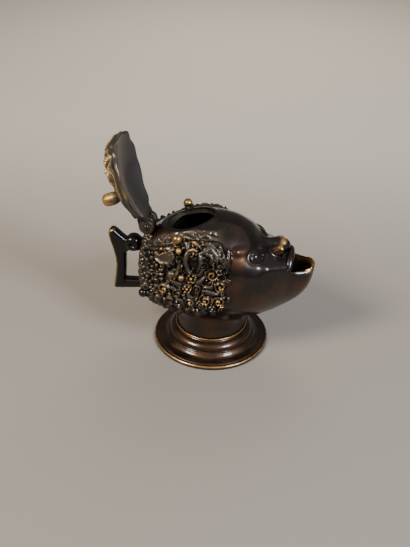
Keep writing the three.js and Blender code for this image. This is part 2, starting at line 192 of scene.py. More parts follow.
def turned(bm, matrix, place):
    """Turns a mesh about the origin, then moves it to its place."""
    bmesh.ops.rotate(bm, verts=bm.verts, matrix=matrix)
    bmesh.ops.translate(bm, verts=bm.verts, vec=place)
    return bm


def loft(rings):
    """A closed skin over rings of points."""
    bm = bmesh.new()
    rows = [[bm.verts.new(point) for point in ring] for ring in rings]
    for low, high in zip(rows, rows[1:]):
        for i in range(len(low)):
            bm.faces.new((low[i - 1], low[i], high[i], high[i - 1]))
    bm.faces.new(rows[0])
    bm.faces.new(rows[-1])
    bmesh.ops.recalc_face_normals(bm, faces=bm.faces)
    return bm


def rounded(profile, per_step=4):
    """More points on a profile, on smooth curves through the given ones."""
    p = np.array(profile, float)
    p = np.concatenate((2 * p[:1] - p[1:2], p, 2 * p[-1:] - p[-2:-1]))
    t = np.linspace(0, 1, per_step, endpoint=False)[:, None]
    out = []
    for a, b, c, d in zip(p, p[1:], p[2:], p[3:]):
        square = 2 * a - 5 * b + 4 * c - d
        cube = 3 * b - a - 3 * c + d
        out.append(0.5 * (2 * b + (c - a) * t + square * t**2 + cube * t**3))
    return np.concatenate(out + [p[-2:-1]])


def points_of(bm):
    return np.array([v.co for v in bm.verts])


def move_to(bm, points):
    for vert, point in zip(bm.verts, points):
        vert.co = point


print("a profile of 3 points rounds to", len(rounded([(0, 0), (1, 2), (2, 0)])), "points")

# %% [markdown]
# ## Face forms and neck
# The face is modelled in broad masses, as in wax: a bar for the nose with its wings, brows, lips,
# all melted into the bare head. A distance field does the melting: the smooth minimum of two
# distances is one skin over both shapes. The same field takes in the neck, so head and neck are one
# casting. The left half is the right half mirrored, by measuring with |y|.

# %% The head as one field
NECK_RADIUS, NECK_TOP, NECK_MELT = 19.4, 31, 4.5
NECK_FOOT = (foot_high[2] / MM) + 0.3
NECK_WAIST, NECK_BEAD = 0.7, 0.7  # how far the neck draws in, and how far its bead stands out
FACE = [
    # from, to, radii at both ends, depth of the melted joint, in mm
    ((25.5, 0, 65.6), (36.6, 0, 66.2), (3.2, 4.3), 2.4),  # bridge and tip of the nose
    ((38, 0, 66.2), (38.6, 0, 66.2), (3.4, 3.4), 1.0),  # ball of the nose
    ((33.6, 5.0, 64.0), (36.4, 4.7, 65.6), (3.2, 3.2), 1.1),  # nostril wing
    ((14, 18.5, 70), (25.5, 9.2, 66.9), (1.5, 2.1), 2.6),  # brow
    ((25.5, 9.2, 66.9), (29, 4, 65.8), (2.1, 2.0), 2.4),  # root of the brow
    ((39.4, 0, 61.6), (38.9, 9.6, 57), (2.2, 2.0), 1.6),  # upper lip
    ((30, 16.4, 59.4), (39.6, 10.2, 58), (1.6, 1.6), 5.4),  # cheek fold to the corner of the mouth
]
NOSTRIL = (39.2, 4.9, 67.0), (38.9, 5.6, 64.2), (1.5, 1.8)
NOSTRIL_MELT = 0.6


def folded(p):
    """Points or directions with both halves of the lamp laid on one side."""
    return p * (1, 0, 1) + np.abs(p) * (0, 1, 0)


def melt(a, b, depth):
    """One skin over two distance fields."""
    t = np.clip(0.5 + 0.5 * (b - a) / depth, 0, 1)
    return b + (a - b) * t - depth * t * (1 - t)


def bar_distance(p, start, end, radii):
    start = np.array(start, float)
    along = np.array(end, float) - start
    t = np.clip((p - start) @ along / (along @ along), 0, 1)
    radius = radii[0] + (radii[1] - radii[0]) * t
    return np.linalg.norm(p - start - t[:, None] * along, axis=1) - radius


def neck_distance(p):
    above = p[:, 2] - NECK_FOOT
    waist = NECK_WAIST * smoothstep(0, 3, above)
    bead = NECK_BEAD * np.exp(-(((above - 0.8) / 0.9) ** 2))
    side = np.hypot(p[:, 0], p[:, 1]) - NECK_RADIUS + waist - bead
    return np.maximum(np.maximum(side, -above), p[:, 2] - NECK_TOP)


def whole_head(p):
    """Distance from the head with its face and neck, without hair."""
    q = folded(p)
    distance = melt(bare_head(q), neck_distance(q), NECK_MELT)
    for start, end, radii, depth in FACE:
        distance = melt(distance, bar_distance(q, start, end, radii), depth)
    return -melt(-distance, bar_distance(q, *NOSTRIL), NOSTRIL_MELT)


print(len(FACE), "masses of the face melt into the head, the neck starts at", round(NECK_FOOT, 1), "mm")

# %% [markdown]
# ## Skin of the head
# A globe of fine quads is blown up from a point inside the lamp until each vertex meets the field.
# The poles lie on the long axis, at the back and the spout, so that the sides, where the hair is, get
# even quads.

# %% Blow the globe up to the field
CORE = np.array((-2.0, 0.0, 50.0))
RAY, HALVINGS = 75.0, 26  # length of a ray from the core in mm, and how often it is halved
HEAD_AROUND, HEAD_ALONG = 400, 204  # quads of the head's globe


def globe(around, along):
    """Unit globe with its poles on the X axis."""
    bm = bmesh.new()
    bmesh.ops.create_uvsphere(bm, u_segments=around, v_segments=along, radius=1)
    bmesh.ops.rotate(bm, verts=bm.verts, matrix=Matrix.Rotation(math.pi / 2, 3, "Y"))
    return bm


def blown_up(directions, field):
    """Points where rays from the core meet a field."""
    near = np.zeros(len(directions))
    far = np.full(len(directions), RAY)
    for _ in range(HALVINGS):
        middle = (near + far) / 2
        inside = field(CORE + directions * middle[:, None]) < 0
        near = np.where(inside, middle, near)
        far = np.where(inside, far, middle)
    return CORE + directions * far[:, None]


head_bm = globe(HEAD_AROUND, HEAD_ALONG)
skin = blown_up(points_of(head_bm), whole_head)
outward = normals_of(whole_head, skin)
print("skin of", len(skin), "points, x", skin[:, 0].min().round(1), "to", skin[:, 0].max().round(1))

# %% [markdown]
# ## Hair as pressed stamps
# The hair is curls, leaves and berries pressed on the skin. Each stamp is a small height map in its
# own flat frame, right and up on the skin, and where stamps meet the higher one wins, as it does
# when pellets of wax are laid on each other. A curl is a rolled strand: a wave that winds inwards.

# %% Round stamps and locks
UP = np.array((0.0, 0.0, 1.0))
ALONG = np.array((1.0, 0.0, 0.0))


def axes_at(normal, up=UP):
    """Right and up on the skin, for someone who looks at it."""
    right = np.cross(normal, up)
    right /= np.linalg.norm(right)
    return right, np.cross(right, normal)


def curl(radius, height, hand=1, turn=0.0, windings=1.7):
    """A snail curl of one rolled strand with a small boss in its middle."""
    def heights(a, b):
        r = np.hypot(a, b) / radius
        wave = np.cos(2 * np.pi * windings * r - hand * (np.arctan2(b, a) + turn))
        edge = np.clip(1 - r**5, 0, 1) ** 0.5
        boss = 0.3 * height * np.exp(-(r / 0.2) ** 2)
        return np.where(r < 1, height * edge * (0.62 + 0.38 * wave) + boss, 0)
    return heights, radius


def berry(radius, stand):
    """A round berry, its middle at the height stand."""
    def heights(a, b):
        r = np.hypot(a, b) / radius
        return np.where(r < 1, stand + radius * np.sqrt(np.clip(1 - r * r, 0, 1)), 0)
    return heights, radius


def comma(length, width, height, turn, bend):
    """A short bent lock, thick at its root."""
    def heights(a, b):
        along = (a * np.cos(turn) + b * np.sin(turn)) / length
        off = b * np.cos(turn) - a * np.sin(turn) - bend * length * (1 - along**2)
        r = off / (width * (1 - 0.4 * along))
        return height * np.sqrt(np.clip(1 - r * r, 0, 1)) * np.clip(1 - along**2, 0, 1) ** 0.4
    return heights, length * 1.1


def rosette(radius, height, petals=6):
    """A flower: a ball in a ring of petals."""
    def heights(a, b):
        r = np.hypot(a, b) / radius
        ring = np.exp(-((r - 0.68) / 0.24) ** 2) * (0.7 + 0.3 * np.cos(petals * np.arctan2(b, a)))
        ball = np.sqrt(np.clip(1 - (r / 0.36) ** 2, 0, 1))
        return np.where(r < 1, height * np.maximum(ring, ball), 0)
    return heights, radius


print("a berry of radius 2 stands", berry(2, 1)[0](np.zeros(1), np.zeros(1))[0], "mm high")

# %% Leaves, strands and pressing


def leaf(outline, height, rim):
    """A leaf with a raised edge and a midrib groove, from corners in its own frame."""
    outline = np.array(outline)
    ends = np.roll(outline, -1, axis=0)
    rib = [outline[:1], outline[len(outline) // 2:][:1]]

    def to_lines(p, starts, stops):
        lines = stops - starts
        t = np.clip(np.einsum("pij,ij->pi", p[:, None] - starts, lines) / (lines**2).sum(1), 0, 1)
        return np.linalg.norm(p[:, None] - starts - t[:, :, None] * lines, axis=2).min(1)

    def heights(a, b):
        p = np.stack((a, b), 1)
        off = to_lines(p, outline, ends)
        above = (outline[:, 1] > b[:, None]) != (ends[:, 1] > b[:, None])
        cross = outline[:, 0] + (b[:, None] - outline[:, 1]) * (ends - outline)[:, 0] / (ends - outline)[:, 1]
        inside = (above & (a[:, None] < cross)).sum(1) % 2 == 1
        edge = rim * np.exp(-((off - 0.9) / 0.8) ** 2)
        groove = 0.5 * np.exp(-(to_lines(p, *rib) / 0.5) ** 2)
        return np.where(inside, (height + edge - groove) * np.sqrt(np.clip(off / 1.1, 0, 1)), 0)
    return heights, np.linalg.norm(outline, axis=1).max()


def stroke_heights(p, line, width, height):
    """A rounded ridge along a line of points, tapered at both ends."""
    line = np.array(line)
    best = np.zeros(len(p))
    lengths = np.linalg.norm(np.diff(line, axis=0), axis=1)
    run = np.concatenate(([0], np.cumsum(lengths))) / lengths.sum()
    for i, length in enumerate(lengths):
        along = line[i + 1] - line[i]
        t = np.clip((p - line[i]) @ along / length**2, 0, 1)
        share = run[i] + t * (run[i + 1] - run[i])
        w = width * (0.45 + 0.55 * np.sin(np.pi * np.clip(share, 0.02, 0.98)) ** 0.5)
        r = np.linalg.norm(p - line[i] - t[:, None] * along, axis=1) / w
        best = np.maximum(best, height * np.sqrt(np.clip(1 - r * r, 0, 1)))
    return best


def press(points, heights, stamp, centre, normal, up=UP):
    """Raises the heights near a stamp's centre to the stamp."""
    profile, reach = stamp
    near = np.linalg.norm(points - centre, axis=1) < reach * 1.5 + 1
    if not near.any():
        return
    right, upward = axes_at(normal, up)
    offset = points[near] - centre
    heights[near] = np.maximum(heights[near], profile(offset @ right, offset @ upward))


DIAMOND = [(-3, 0), (0, 2), (3, 0), (0, -2)]
print("a diamond leaf reaches", leaf(DIAMOND, 1, 0.5)[1], "mm from its middle")

# %% [markdown]
# ## Where the hair grows
# The hair ends at the temples in a ragged line down the cheek, and it stops above the neck. Beside the
# filling hole it runs on under the lid, cut flat so that the lid can close over it. Two masks say how
# much of either a point of the skin carries.

# %% Mask of the hair
LID_BACK, LID_FRONT, LID_HALF = -32.6, 13.0, 17.4
LID_SQUARE, LID_TAPER = 4.0, 0.5  # exponent of the plan's superellipse, narrowing towards the hinge
SEAT_LOW, BAND_LOW, BAND_INNER = 55, 60, 12  # lowest heights of the seat and the flat hair, its inner edge
TEMPLE_Z = (34, 39.4, 46.2, 55.7, 63.8, 69.4, 72.4, 77)
TEMPLE_X = (7, 10.3, 11.7, 11.3, 11, 9.6, 6.6, -1)
BOTTOM_X, BOTTOM_Z = (-36, -15, 0, 10), (31, 28.5, 32, 37)
half_skin = folded(skin)
half_out = folded(outward)
rng = np.random.default_rng(7)


def ripple(p, size, count=5, seed=3):
    """A smooth random wave with features of about this size in mm, between -1 and 1."""
    local = np.random.default_rng(seed)
    total = np.zeros(len(p))
    for _ in range(count):
        direction = local.normal(size=3)
        total += np.sin(p @ (direction * 2.4 / size) + local.uniform(0, 6.3))
    return total / count


def seat_distance(p):
    """1 on the edge of the closed lid's plan, more outside it."""
    middle = (LID_BACK + LID_FRONT) / 2
    along = np.abs((p[:, 0] - middle) / (LID_FRONT - middle)) ** LID_SQUARE
    return (along + np.abs(p[:, 1] / LID_HALF) ** LID_SQUARE) ** (1 / LID_SQUARE)


def seat_mask(p):
    """0 under the closed lid, 1 outside it."""
    ragged = seat_distance(p) - 0.015 * ripple(p, 2.5)
    return np.where(p[:, 2] < SEAT_LOW, 1, smoothstep(1.04, 1.09, ragged))


def hair_mask(p):
    wander = 2.2 * ripple(p, 4)
    front = smoothstep(0, 4, np.interp(p[:, 2], TEMPLE_Z, TEMPLE_X) + wander - p[:, 0])
    bottom = np.interp(p[:, 0], BOTTOM_X, BOTTOM_Z) + wander
    return front * smoothstep(0, 3, p[:, 2] - bottom)


def band_mask(p):
    """1 on the strip beside the filling hole, where flat hair runs on under the lid."""
    ends = smoothstep(-32, -28, p[:, 0]) * smoothstep(5, 1, p[:, 0])
    strip = smoothstep(0.76, 0.86, seat_distance(p) + 0.05 * ripple(p, 3)) * (np.abs(p[:, 1]) > BAND_INNER)
    return ends * strip * (1 - seat_mask(p)) * (p[:, 2] > BAND_LOW)


hair = hair_mask(half_skin) * seat_mask(half_skin)
band = band_mask(half_skin)
print("hair on", int((hair > 0.5).sum()), "points, flat hair on", int((band > 0.5).sum()))

# %% [markdown]
# ## Named ornaments
# The large forms come first: an ivy leaf and a lock behind the temple, the C-shaped ridge, berries
# and rosettes, and the ring curls before the ear. Their places are read along the head and in height,
# in millimetres, and each lies on both sides.

# %% Press the named ornaments
IVY = [
    (-30.3, 63.2), (-26.9, 65.5), (-23.1, 67.5), (-19.3, 69), (-17.4, 68.4), (-16.6, 65.8), (-19.7, 62.2),
    (-24.6, 60.9),
]
RED_LEAF = [(-11.6, 74), (-8.6, 75.2), (-4.8, 73.4), (-3, 70.4), (-5.6, 71.6), (-8.4, 72)]
LEAVES = [(IVY, 0.9), (RED_LEAF, 0.5)]  # corners, height of the raised edge
C_RIDGE = [(-6.4, 70.6), (-7.9, 71), (-10.2, 70.2), (-11.6, 68.2), (-11.8, 65), (-10.8, 62.2), (-9.2, 60.2)]
C_FRONT = [(-4.8, 69), (-4, 65.4), (-5.4, 61.4)]
LOCK = [(-15, 64), (-15.4, 61.9), (-16.2, 59), (-17.4, 55.9)]
STRANDS = [
    [(-5.1, 75.4), (0.4, 75.6), (5, 73.4), (7.6, 69), (8.4, 64)],
    [(-3.7, 73.4), (0.8, 73.4), (4.5, 71), (6.2, 66.6)],
    [(-2.6, 72), (0.8, 71.8), (3.4, 69.4), (4.4, 66)],
    [(-1.8, 69.6), (0.6, 69.2), (2, 67.4)],
    [(9.6, 72), (10, 67), (9.6, 62)],
]
STROKES = [(C_RIDGE, 1.5, 2.7), (C_FRONT, 1.2, 1.9), (LOCK, 1.4, 2.6)]  # line, half width, height
STROKES += [(strand, 1.3, 1.7) for strand in STRANDS]
CURLS = [  # place along the head, height, radius
    (-22.4, 73.2, 2.9), (-27.8, 70.2, 2.6), (2.2, 60.1, 3.4), (-2.3, 64.7, 2.4), (6.8, 54.1, 3.6),
    (-1, 45.4, 3.6), (6.2, 44.7, 3.2), (-23.4, 48.5, 3.8), (-19.8, 42, 3.4), (-34.3, 46, 3.2),
    (-5.4, 51.5, 2.6), (-16, 47.4, 3), (-27.6, 55.2, 3), (9, 60.4, 2.2), (-9.1, 42.8, 3.2),
    (-27.2, 41.4, 3.4), (-14.8, 36.8, 3), (2.4, 39.4, 2.6),
]
BERRIES = [(-15, 69.2, 1.7, 2.6), (-13.8, 57.1, 1.9, 1.4), (-20.4, 71.6, 1.4, 2.6)]  # last, the lift
ROSETTES = [(-8.7, 57.3, 3.2), (-10.7, 51.3, 2.9)]
LEAF_TALL, CURL_TALL, ROSETTE_TALL = 1.6, 2.5, 2.8
RECESS, RECESS_ROOM = (-7.6, 65.6), 3.4  # nothing is pressed into the hollow of the C
height = np.zeros(len(skin))


def side_frame(x, z):
    centre = on_side(x, z)
    return centre, normals_of(bare_head, centre[None])[0]


def flat_outline(corners):
    """Corners on the side of the head, seen in the frame of their middle."""
    points = np.array([on_side(*corner) for corner in corners])
    centre, normal = side_frame(*np.mean(corners, axis=0))
    right, upward = axes_at(normal)
    return centre, normal, np.stack(((points - centre) @ right, (points - centre) @ upward), 1)


for corners, rim in LEAVES:
    centre, normal, outline = flat_outline(corners)
    press(half_skin, height, leaf(outline, LEAF_TALL, rim), centre, normal)
for line, width, tall in STROKES:
    height = np.maximum(height, stroke_heights(half_skin, [on_side(*p) for p in line], width, tall))
placed = [(on_side(*RECESS), RECESS_ROOM)]


def press_round(x, z, radius, stamp):
    """Presses a round ornament and keeps its room from the small curls."""
    centre, normal = side_frame(x, z)
    press(half_skin, height, stamp, centre, normal)
    placed.append((centre, radius))


for i, (x, z, radius) in enumerate(CURLS):
    press_round(x, z, radius, curl(radius, CURL_TALL, hand=(-1) ** i, turn=1.3 * i))
for x, z, radius, stand in BERRIES:
    press_round(x, z, radius, berry(radius, stand))
for x, z, radius in ROSETTES:
    press_round(x, z, radius, rosette(radius, ROSETTE_TALL))
print(len(placed) - 1, "round ornaments on each side, highest", round(float(height.max()), 1), "mm")

# %% [markdown]
# ## Small curls between them
# The rest is packed with small curls, larger ones first, thrown at random places where there is
# still room. The seed is fixed, so the lamp comes out the same each time.

# %% Fill with small curls
CURL_SIZES = ((2.9, 200), (2.3, 400), (1.8, 900), (1.3, 1500), (0.9, 1500))  # radius in mm, throws
PELLET_SIZES = ((1.7, 160), (1.3, 700), (1, 2600))
SMALL_TALL, PELLET_TALL = 2.2, 1.8
BACK_HAIR = 0.6  # share of pellets from which the hair belongs to the back


def small_stamp(radius, tall, granular):
    """A pellet, a small curl or a short lock, by chance."""
    chance = rng.random()
    tall *= 0.7 + 0.5 * rng.random()
    turn = rng.uniform(0, 2 * np.pi)
    if chance < granular:
        return berry(0.85 * radius, 0.3 * tall)
    if chance < granular + 0.62 * (1 - granular):
        return curl(radius, tall, rng.choice((-1, 1)), turn, 0.9 + 0.2 * radius)
    return comma(1.35 * radius, 0.5 * radius, tall, turn, rng.uniform(-0.45, 0.45))


def fill(points, normals, share, placed, heights, sizes, tall, granular, up=UP, keep=0.82):
    """Throws small stamps on points that still have room, larger ones first."""
    spots = np.flatnonzero(share > 0.5)
    made = 0
    for radius, tries in sizes:
        for spot in rng.choice(spots, tries):
            centre = points[spot]
            others = np.array([c for c, _ in placed]).reshape(-1, 3)
            reach = np.array([r for _, r in placed]) + radius
            crowded = (np.linalg.norm(others - centre, axis=1) < keep * reach).any()
            if crowded or heights[spot] > 0.6 * tall:
                continue
            press(points, heights, small_stamp(radius, tall, granular[spot]), centre, normals[spot], up)
            placed.append((centre, radius))
            made += 1
    return made


granular = smoothstep(-14, -28, half_skin[:, 0])
shaggy = np.maximum(hair, band)
made = fill(half_skin, half_out, shaggy * (half_skin[:, 1] > 0.5) * (granular < BACK_HAIR), placed, height,
            CURL_SIZES, SMALL_TALL, granular)
made += fill(half_skin, half_out, shaggy * (granular >= BACK_HAIR), placed, height,
             PELLET_SIZES, PELLET_TALL, granular)
print(made, "small curls")

# %% [markdown]
# ## Raise the hair, mark the seat and the eye
# The mask fades the stamps out at the temples. A low bead runs round the filling hole, where the
# founder left the seat of the lid proud, and the eye is a ball between two lids, sunk in the face.

# %% Move the skin outwards
HOLE_X, HOLE_LONG, HOLE_WIDE = -14.3, 13.4, 11.7
EYE, EYE_REACH = (24.6, 66.8), 11  # along the head and in height
HAIR_BASE, WREATH, BAND_SUNK = 0.5, 1.6, 0.7  # rise of the hair and its wreath, depth of the flat hair


def hole_radius(turn):
    """1 at the ellipse of the filling hole, with its blunt point in front."""
    return 1 + 0.08 * np.maximum(0, np.cos(turn)) ** 4


def eye_heights(a, b):
    """A ball between two lids in a shallow socket."""
    r = np.hypot(a / 4.0, b / 2.8)
    ball = 1.4 * np.sqrt(np.clip(1 - (r / 0.95) ** 2, 0, 1))
    lids = 0.95 * np.exp(-((r - 1.08) / 0.17) ** 2)
    socket = -0.6 * np.exp(-((r - 1.25) / 0.6) ** 2)
    pupil = -0.5 * np.exp(-((np.hypot(a - 0.5, b) / 0.7) ** 2))
    return np.where(r < 2.6, socket + np.maximum(ball, lids) + pupil, 0)


grain = 0.12 * ripple(half_skin, 1.6, 9) + 0.18 * ripple(half_skin, 4, 7, 5)
wreath = smoothstep(60, 68, skin[:, 2]) * smoothstep(LID_BACK - 3, LID_BACK + 2, skin[:, 0])
wreath *= smoothstep(8, -5, skin[:, 0])
raised = hair * (HAIR_BASE + WREATH * wreath + grain) + seat_mask(half_skin) * height
raised += band * (np.minimum(0.5 * height, 1.1) - BAND_SUNK)
turn = np.arctan2(skin[:, 1] / HOLE_WIDE, (skin[:, 0] - HOLE_X) / HOLE_LONG)
hole_share = np.hypot((skin[:, 0] - HOLE_X) / HOLE_LONG, skin[:, 1] / HOLE_WIDE) / hole_radius(turn)
upper = smoothstep(60, 66, skin[:, 2])
raised += 0.3 * upper * np.exp(-((hole_share - 1.09) / 0.08) ** 2)
centre, normal = side_frame(*EYE)
right, upward = axes_at(normal)
offset = half_skin - centre
near_eye = np.linalg.norm(offset, axis=1) < EYE_REACH
raised += np.where(near_eye, eye_heights(offset @ right, offset @ upward), 0)
raised += (1 - hair) * 0.05 * ripple(skin, 6, 6, 11)
move_to(head_bm, skin + outward * raised[:, None])
print("relief up to", round(float(raised.max()), 2), "mm")

# %% [markdown]
# ## Hollow the head
# The real lamp is cast round a core, so it is hollow. The core here is the bare head again, one wall
# smaller. Then come the cuts that a founder leaves open: the filling hole, the mouth for the wick and
# the bore of the neck. Last, the middle knuckle of the hinge and the balls of the hair are joined on.

# %% Cutters
WALL, LIP_WALL, HINGE_WALL = 2.6, 1.8, 5
BORE_RADIUS, BORE_TOP = 16.4, 20.5
HOLE_LOW, HOLE_HIGH, HOLE_STEP = 56, 96, 0.8
MOUTH_BACK, MOUTH_LOW, MOUTH_HIGH = 42.2, 50, 64
RIM_Z, RIM_RISE, CORNER = 55.0, 1.6, 4.0
LIP_STEP, RIM_PAST = 1.6, 5  # how far the cut above the rim goes behind the mouth and past the tip
LIP = [(40.4, 11.4, 53.2), (41.6, 9.6, 56.8), (42.3, 6.4, 60.2), (42.5, 2.4, 62)]  # edge of the upper lip
LIP_RADIUS = 2.2
hinge = frame["record"]["behaviour"]["joints"][0]
HINGE_X = hinge["pos_m"][0] / MM - FOOT_X
HINGE_Z = hinge["pos_m"][2] / MM
OPEN = math.radians(hinge["range_deg"][1])
BARREL, PIN, KNUCKLE, HINGE_HALF = 4.1, 1.3, 2.8, 6.6
PLAY = 0.3  # between the pin and its holes, and between the knuckles


def prism(outline, low, high):
    """An upright column over a plan."""
    return loft([[(x, y, z) for x, y in outline] for z in (low, high)])


def across(outline, half, edge=0.0):
    """A bar across the lamp over a side view, with its edges rounded by a radius."""
    p = np.array(outline, float)
    after = np.roll(p, -1, axis=0)
    steps = after - p
    out = np.stack((steps[:, 1], -steps[:, 0]), 1) / np.linalg.norm(steps, axis=1)[:, None]
    if (p[:, 0] * after[:, 1] - p[:, 1] * after[:, 0]).sum() < 0:
        out = -out
    before = np.roll(out, 1, axis=0)
    mitre = (out + before) / (1 + (out * before).sum(1))[:, None]
    rings = []
    for side in (-1, 1):
        for turn in np.linspace(np.pi / 2, 0, 6)[::-side] if edge else (0,):
            shrunk = p - mitre * edge * (1 - math.cos(turn))
            y = side * (half - edge + edge * math.sin(turn) if edge else half)
            rings.append([(x, y, z) for x, z in shrunk])
    return loft(rings)


def tube(path, radius, sides=24):
    """A round rod along a path."""
    path = np.array(path, float)
    rings = []
    angles = np.linspace(0, 2 * np.pi, sides, endpoint=False)[:, None]
    for point, along in zip(path, np.gradient(path, axis=0)):
        side = np.cross(along, ALONG)
        side /= np.linalg.norm(side)
        other = np.cross(along, side) / np.linalg.norm(along)
        rings.append(point + radius * (np.cos(angles) * side + np.sin(angles) * other))
    return loft(rings)


def spun(profile, steps):
    """A profile of radius and height turned all the way round the upright axis."""
    bm = bmesh.new()
    verts = [bm.verts.new((r, 0, z)) for r, z in profile]
    edges = [bm.edges.new(pair) for pair in zip(verts, verts[1:])]
    bmesh.ops.spin(bm, geom=verts + edges, cent=(0, 0, 0), axis=(0, 0, 1), angle=2 * math.pi,
                   steps=steps, use_merge=True)
    bmesh.ops.remove_doubles(bm, verts=bm.verts, dist=1e-4)
    bmesh.ops.recalc_face_normals(bm, faces=bm.faces)
    return bm


def cross_bar(radius, low, high, bevel=0.0, place=(0, 0)):
    """A round bar across the lamp, with rounded edges."""
    bm = bmesh.new()
    bmesh.ops.create_cone(bm, cap_ends=True, segments=48, radius1=radius, radius2=radius, depth=high - low)
    if bevel:
        rims = [e for e in bm.edges if abs(e.verts[0].co.z - e.verts[1].co.z) < 1e-6]
        bmesh.ops.bevel(bm, geom=rims, offset=bevel, segments=3, profile=0.5, affect="EDGES", material=-1)
    return turned(bm, Matrix.Rotation(-math.pi / 2, 3, "X"), (place[0], (low + high) / 2, place[1]))


def rounded_box(low, high, bevel):
    bm = bmesh.new()
    bmesh.ops.create_cube(bm, size=1)
    low, high = np.array(low, float), np.array(high, float)
    bmesh.ops.scale(bm, verts=bm.verts, vec=high - low)
    bmesh.ops.translate(bm, verts=bm.verts, vec=(low + high) / 2)
    bmesh.ops.bevel(bm, geom=bm.edges, offset=bevel, segments=3, profile=0.5, affect="EDGES", material=-1)
    return bm


def wall_at(p):
    """Thickness of the cast wall: thin at the lip, thick under the hinge."""
    behind = HINGE_WALL * smoothstep(-18, -30, p[:, 0]) * smoothstep(56, 66, p[:, 2])
    return WALL + (LIP_WALL - WALL) * smoothstep(34, 46, p[:, 0]) + behind


def core():
    """The hollow: the bare head less its wall."""
    bm = globe(120, 72)
    move_to(bm, blown_up(points_of(bm), lambda p: bare_head(p) + wall_at(p)))
    return bm


# %% Plans of the filling hole and the mouth
turns = np.linspace(0, 2 * np.pi, 72, endpoint=False)
hole_rings = []
for z in np.arange(HOLE_LOW, HOLE_HIGH, HOLE_STEP):
    drawn_in = np.clip((79 - z) / 20, 0, 1)  # the hole narrows inwards, mostly from the back
    long = HOLE_LONG * (1 - drawn_in * np.where(np.cos(turns) < 0, 0.75, 0.1))
    wide = HOLE_WIDE * (1 - 0.3 * drawn_in)
    ring_x = HOLE_X + long * hole_radius(turns) * np.cos(turns)
    hole_rings.append(np.stack((ring_x, wide * np.sin(turns), np.full(len(turns), z)), 1))
tip = SECTIONS[-1, 0] - LIP_WALL
mouth_x = MOUTH_BACK + (tip - MOUTH_BACK) * np.sin(np.linspace(0, np.pi / 2, 20))
mouth_y = np.maximum(section_at(mouth_x)[2] - LIP_WALL, 0)
mouth_plan = np.concatenate((np.stack((mouth_x, mouth_y), 1), np.stack((mouth_x, -mouth_y), 1)[-2::-1]))
print("filling hole", 2 * HOLE_LONG, "by", 2 * HOLE_WIDE, "mm, mouth", round(2 * mouth_y.max(), 1), "mm wide")

# %% Cut and join the head
lamp_head = as_object("bronze_head", head_bm)
combine(lamp_head, as_object("core", core()))
combine(lamp_head, as_object("hole", loft(hole_rings)))
combine(lamp_head, as_object("mouth", prism(mouth_plan, MOUTH_LOW, MOUTH_HIGH)))
rim_back, rim_front = MOUTH_BACK - LIP_STEP, tip + RIM_PAST
rim_x = np.linspace(rim_back, rim_front, 40)
rim_z = RIM_Z + RIM_RISE * smoothstep(MOUTH_BACK + 5, tip + 2, rim_x)
rim_z += CORNER * np.clip((rim_back + CORNER - rim_x) / CORNER, 0, 1) ** 2.5  # rounds the mouth's corner
above_rim = [*zip(rim_x, rim_z), (rim_front, MOUTH_HIGH), (rim_back, MOUTH_HIGH)]
combine(lamp_head, as_object("above_rim", across(above_rim, 20)))
lip = rounded(LIP + [(x, -y, z) for x, y, z in LIP[::-1]], 6)
combine(lamp_head, as_object("lip", tube(lip, LIP_RADIUS)), "UNION")
bore = prism(np.stack((np.cos(turns), np.sin(turns)), 1) * BORE_RADIUS, 0, BORE_TOP)
combine(lamp_head, as_object("bore", bore))
lug = rounded_box((HINGE_X - 1.5, -KNUCKLE, HINGE_Z - 12), (HINGE_X + BARREL, KNUCKLE, HINGE_Z), 0.6)
knuckle = cross_bar(BARREL, -KNUCKLE, KNUCKLE, 0.5, (HINGE_X, HINGE_Z))
combine(lamp_head, as_object("lug", lug), "UNION")
combine(lamp_head, as_object("knuckle", knuckle), "UNION")
pin_hole = cross_bar(PIN + PLAY, -KNUCKLE - 1, KNUCKLE + 1, 0, (HINGE_X, HINGE_Z))
combine(lamp_head, as_object("pin_hole", pin_hole))
print("head with its openings:", len(lamp_head.data.polygons), "faces")

# %% Balls on stalks
BALLS = [(-16.4, 73, 2.7, 4.4), (-34.8, 40.4, 2.6, 2.6)]  # along, height, radius, lift of the middle
STALK, STALK_ROOT = 1.5, 1  # radius of the stalk, how deep it stands in the hair
for x, z, radius, lift in BALLS:
    centre, normal = side_frame(x, z)
    arc = np.linspace(math.asin(STALK / radius), np.pi, 16)
    foot_z = -lift - STALK_ROOT
    ball_profile = [(0, foot_z), (STALK, foot_z), *zip(radius * np.sin(arc), -radius * np.cos(arc))]
    for side in (1, -1):
        stand = Vector(normal * (1, side, 1)).to_track_quat("Z", "Y").to_matrix()
        ball_bm = turned(spun(ball_profile, 28), stand, on_side(x, z, lift) * (1, side, 1))
        combine(lamp_head, as_object("ball", ball_bm), "UNION")
print("head of", len(lamp_head.data.polygons), "faces")

# %% [markdown]
# ## Lid
# The lid is a shell that follows the crown, so it is modelled closed, over the head, and turned open
# at the end. A globe gives the closed skin: its upper half becomes the curled outside, its equator the
# rounded rim and its lower half the smooth inside.

# %% Shell of the lid
SEAT_GAP, LID_WALL = 0.6, 2.3
OUTER, RIM = 0.6, 0.68  # shares of the globe's rings for the outside, and up to the end of the rim
LID_MIDDLE = (LID_BACK + LID_FRONT) / 2


def lid_edge(turn):
    """Edge of the lid's plan: two lobes in front, drawn in towards the hinge."""
    lobes = 0.45 * np.cos(9 * turn) * (np.abs(turn) > 0.35) - 1.8 * np.exp(-(turn / 0.14) ** 2)
    along, side = (np.sign(v) * np.abs(v) ** (2 / LID_SQUARE) for v in (np.cos(turn), np.sin(turn)))
    taper = 1 - LID_TAPER * np.maximum(0, -along) ** 1.5
    return (LID_FRONT - LID_MIDDLE + lobes) * along, (LID_HALF + lobes) * taper * side


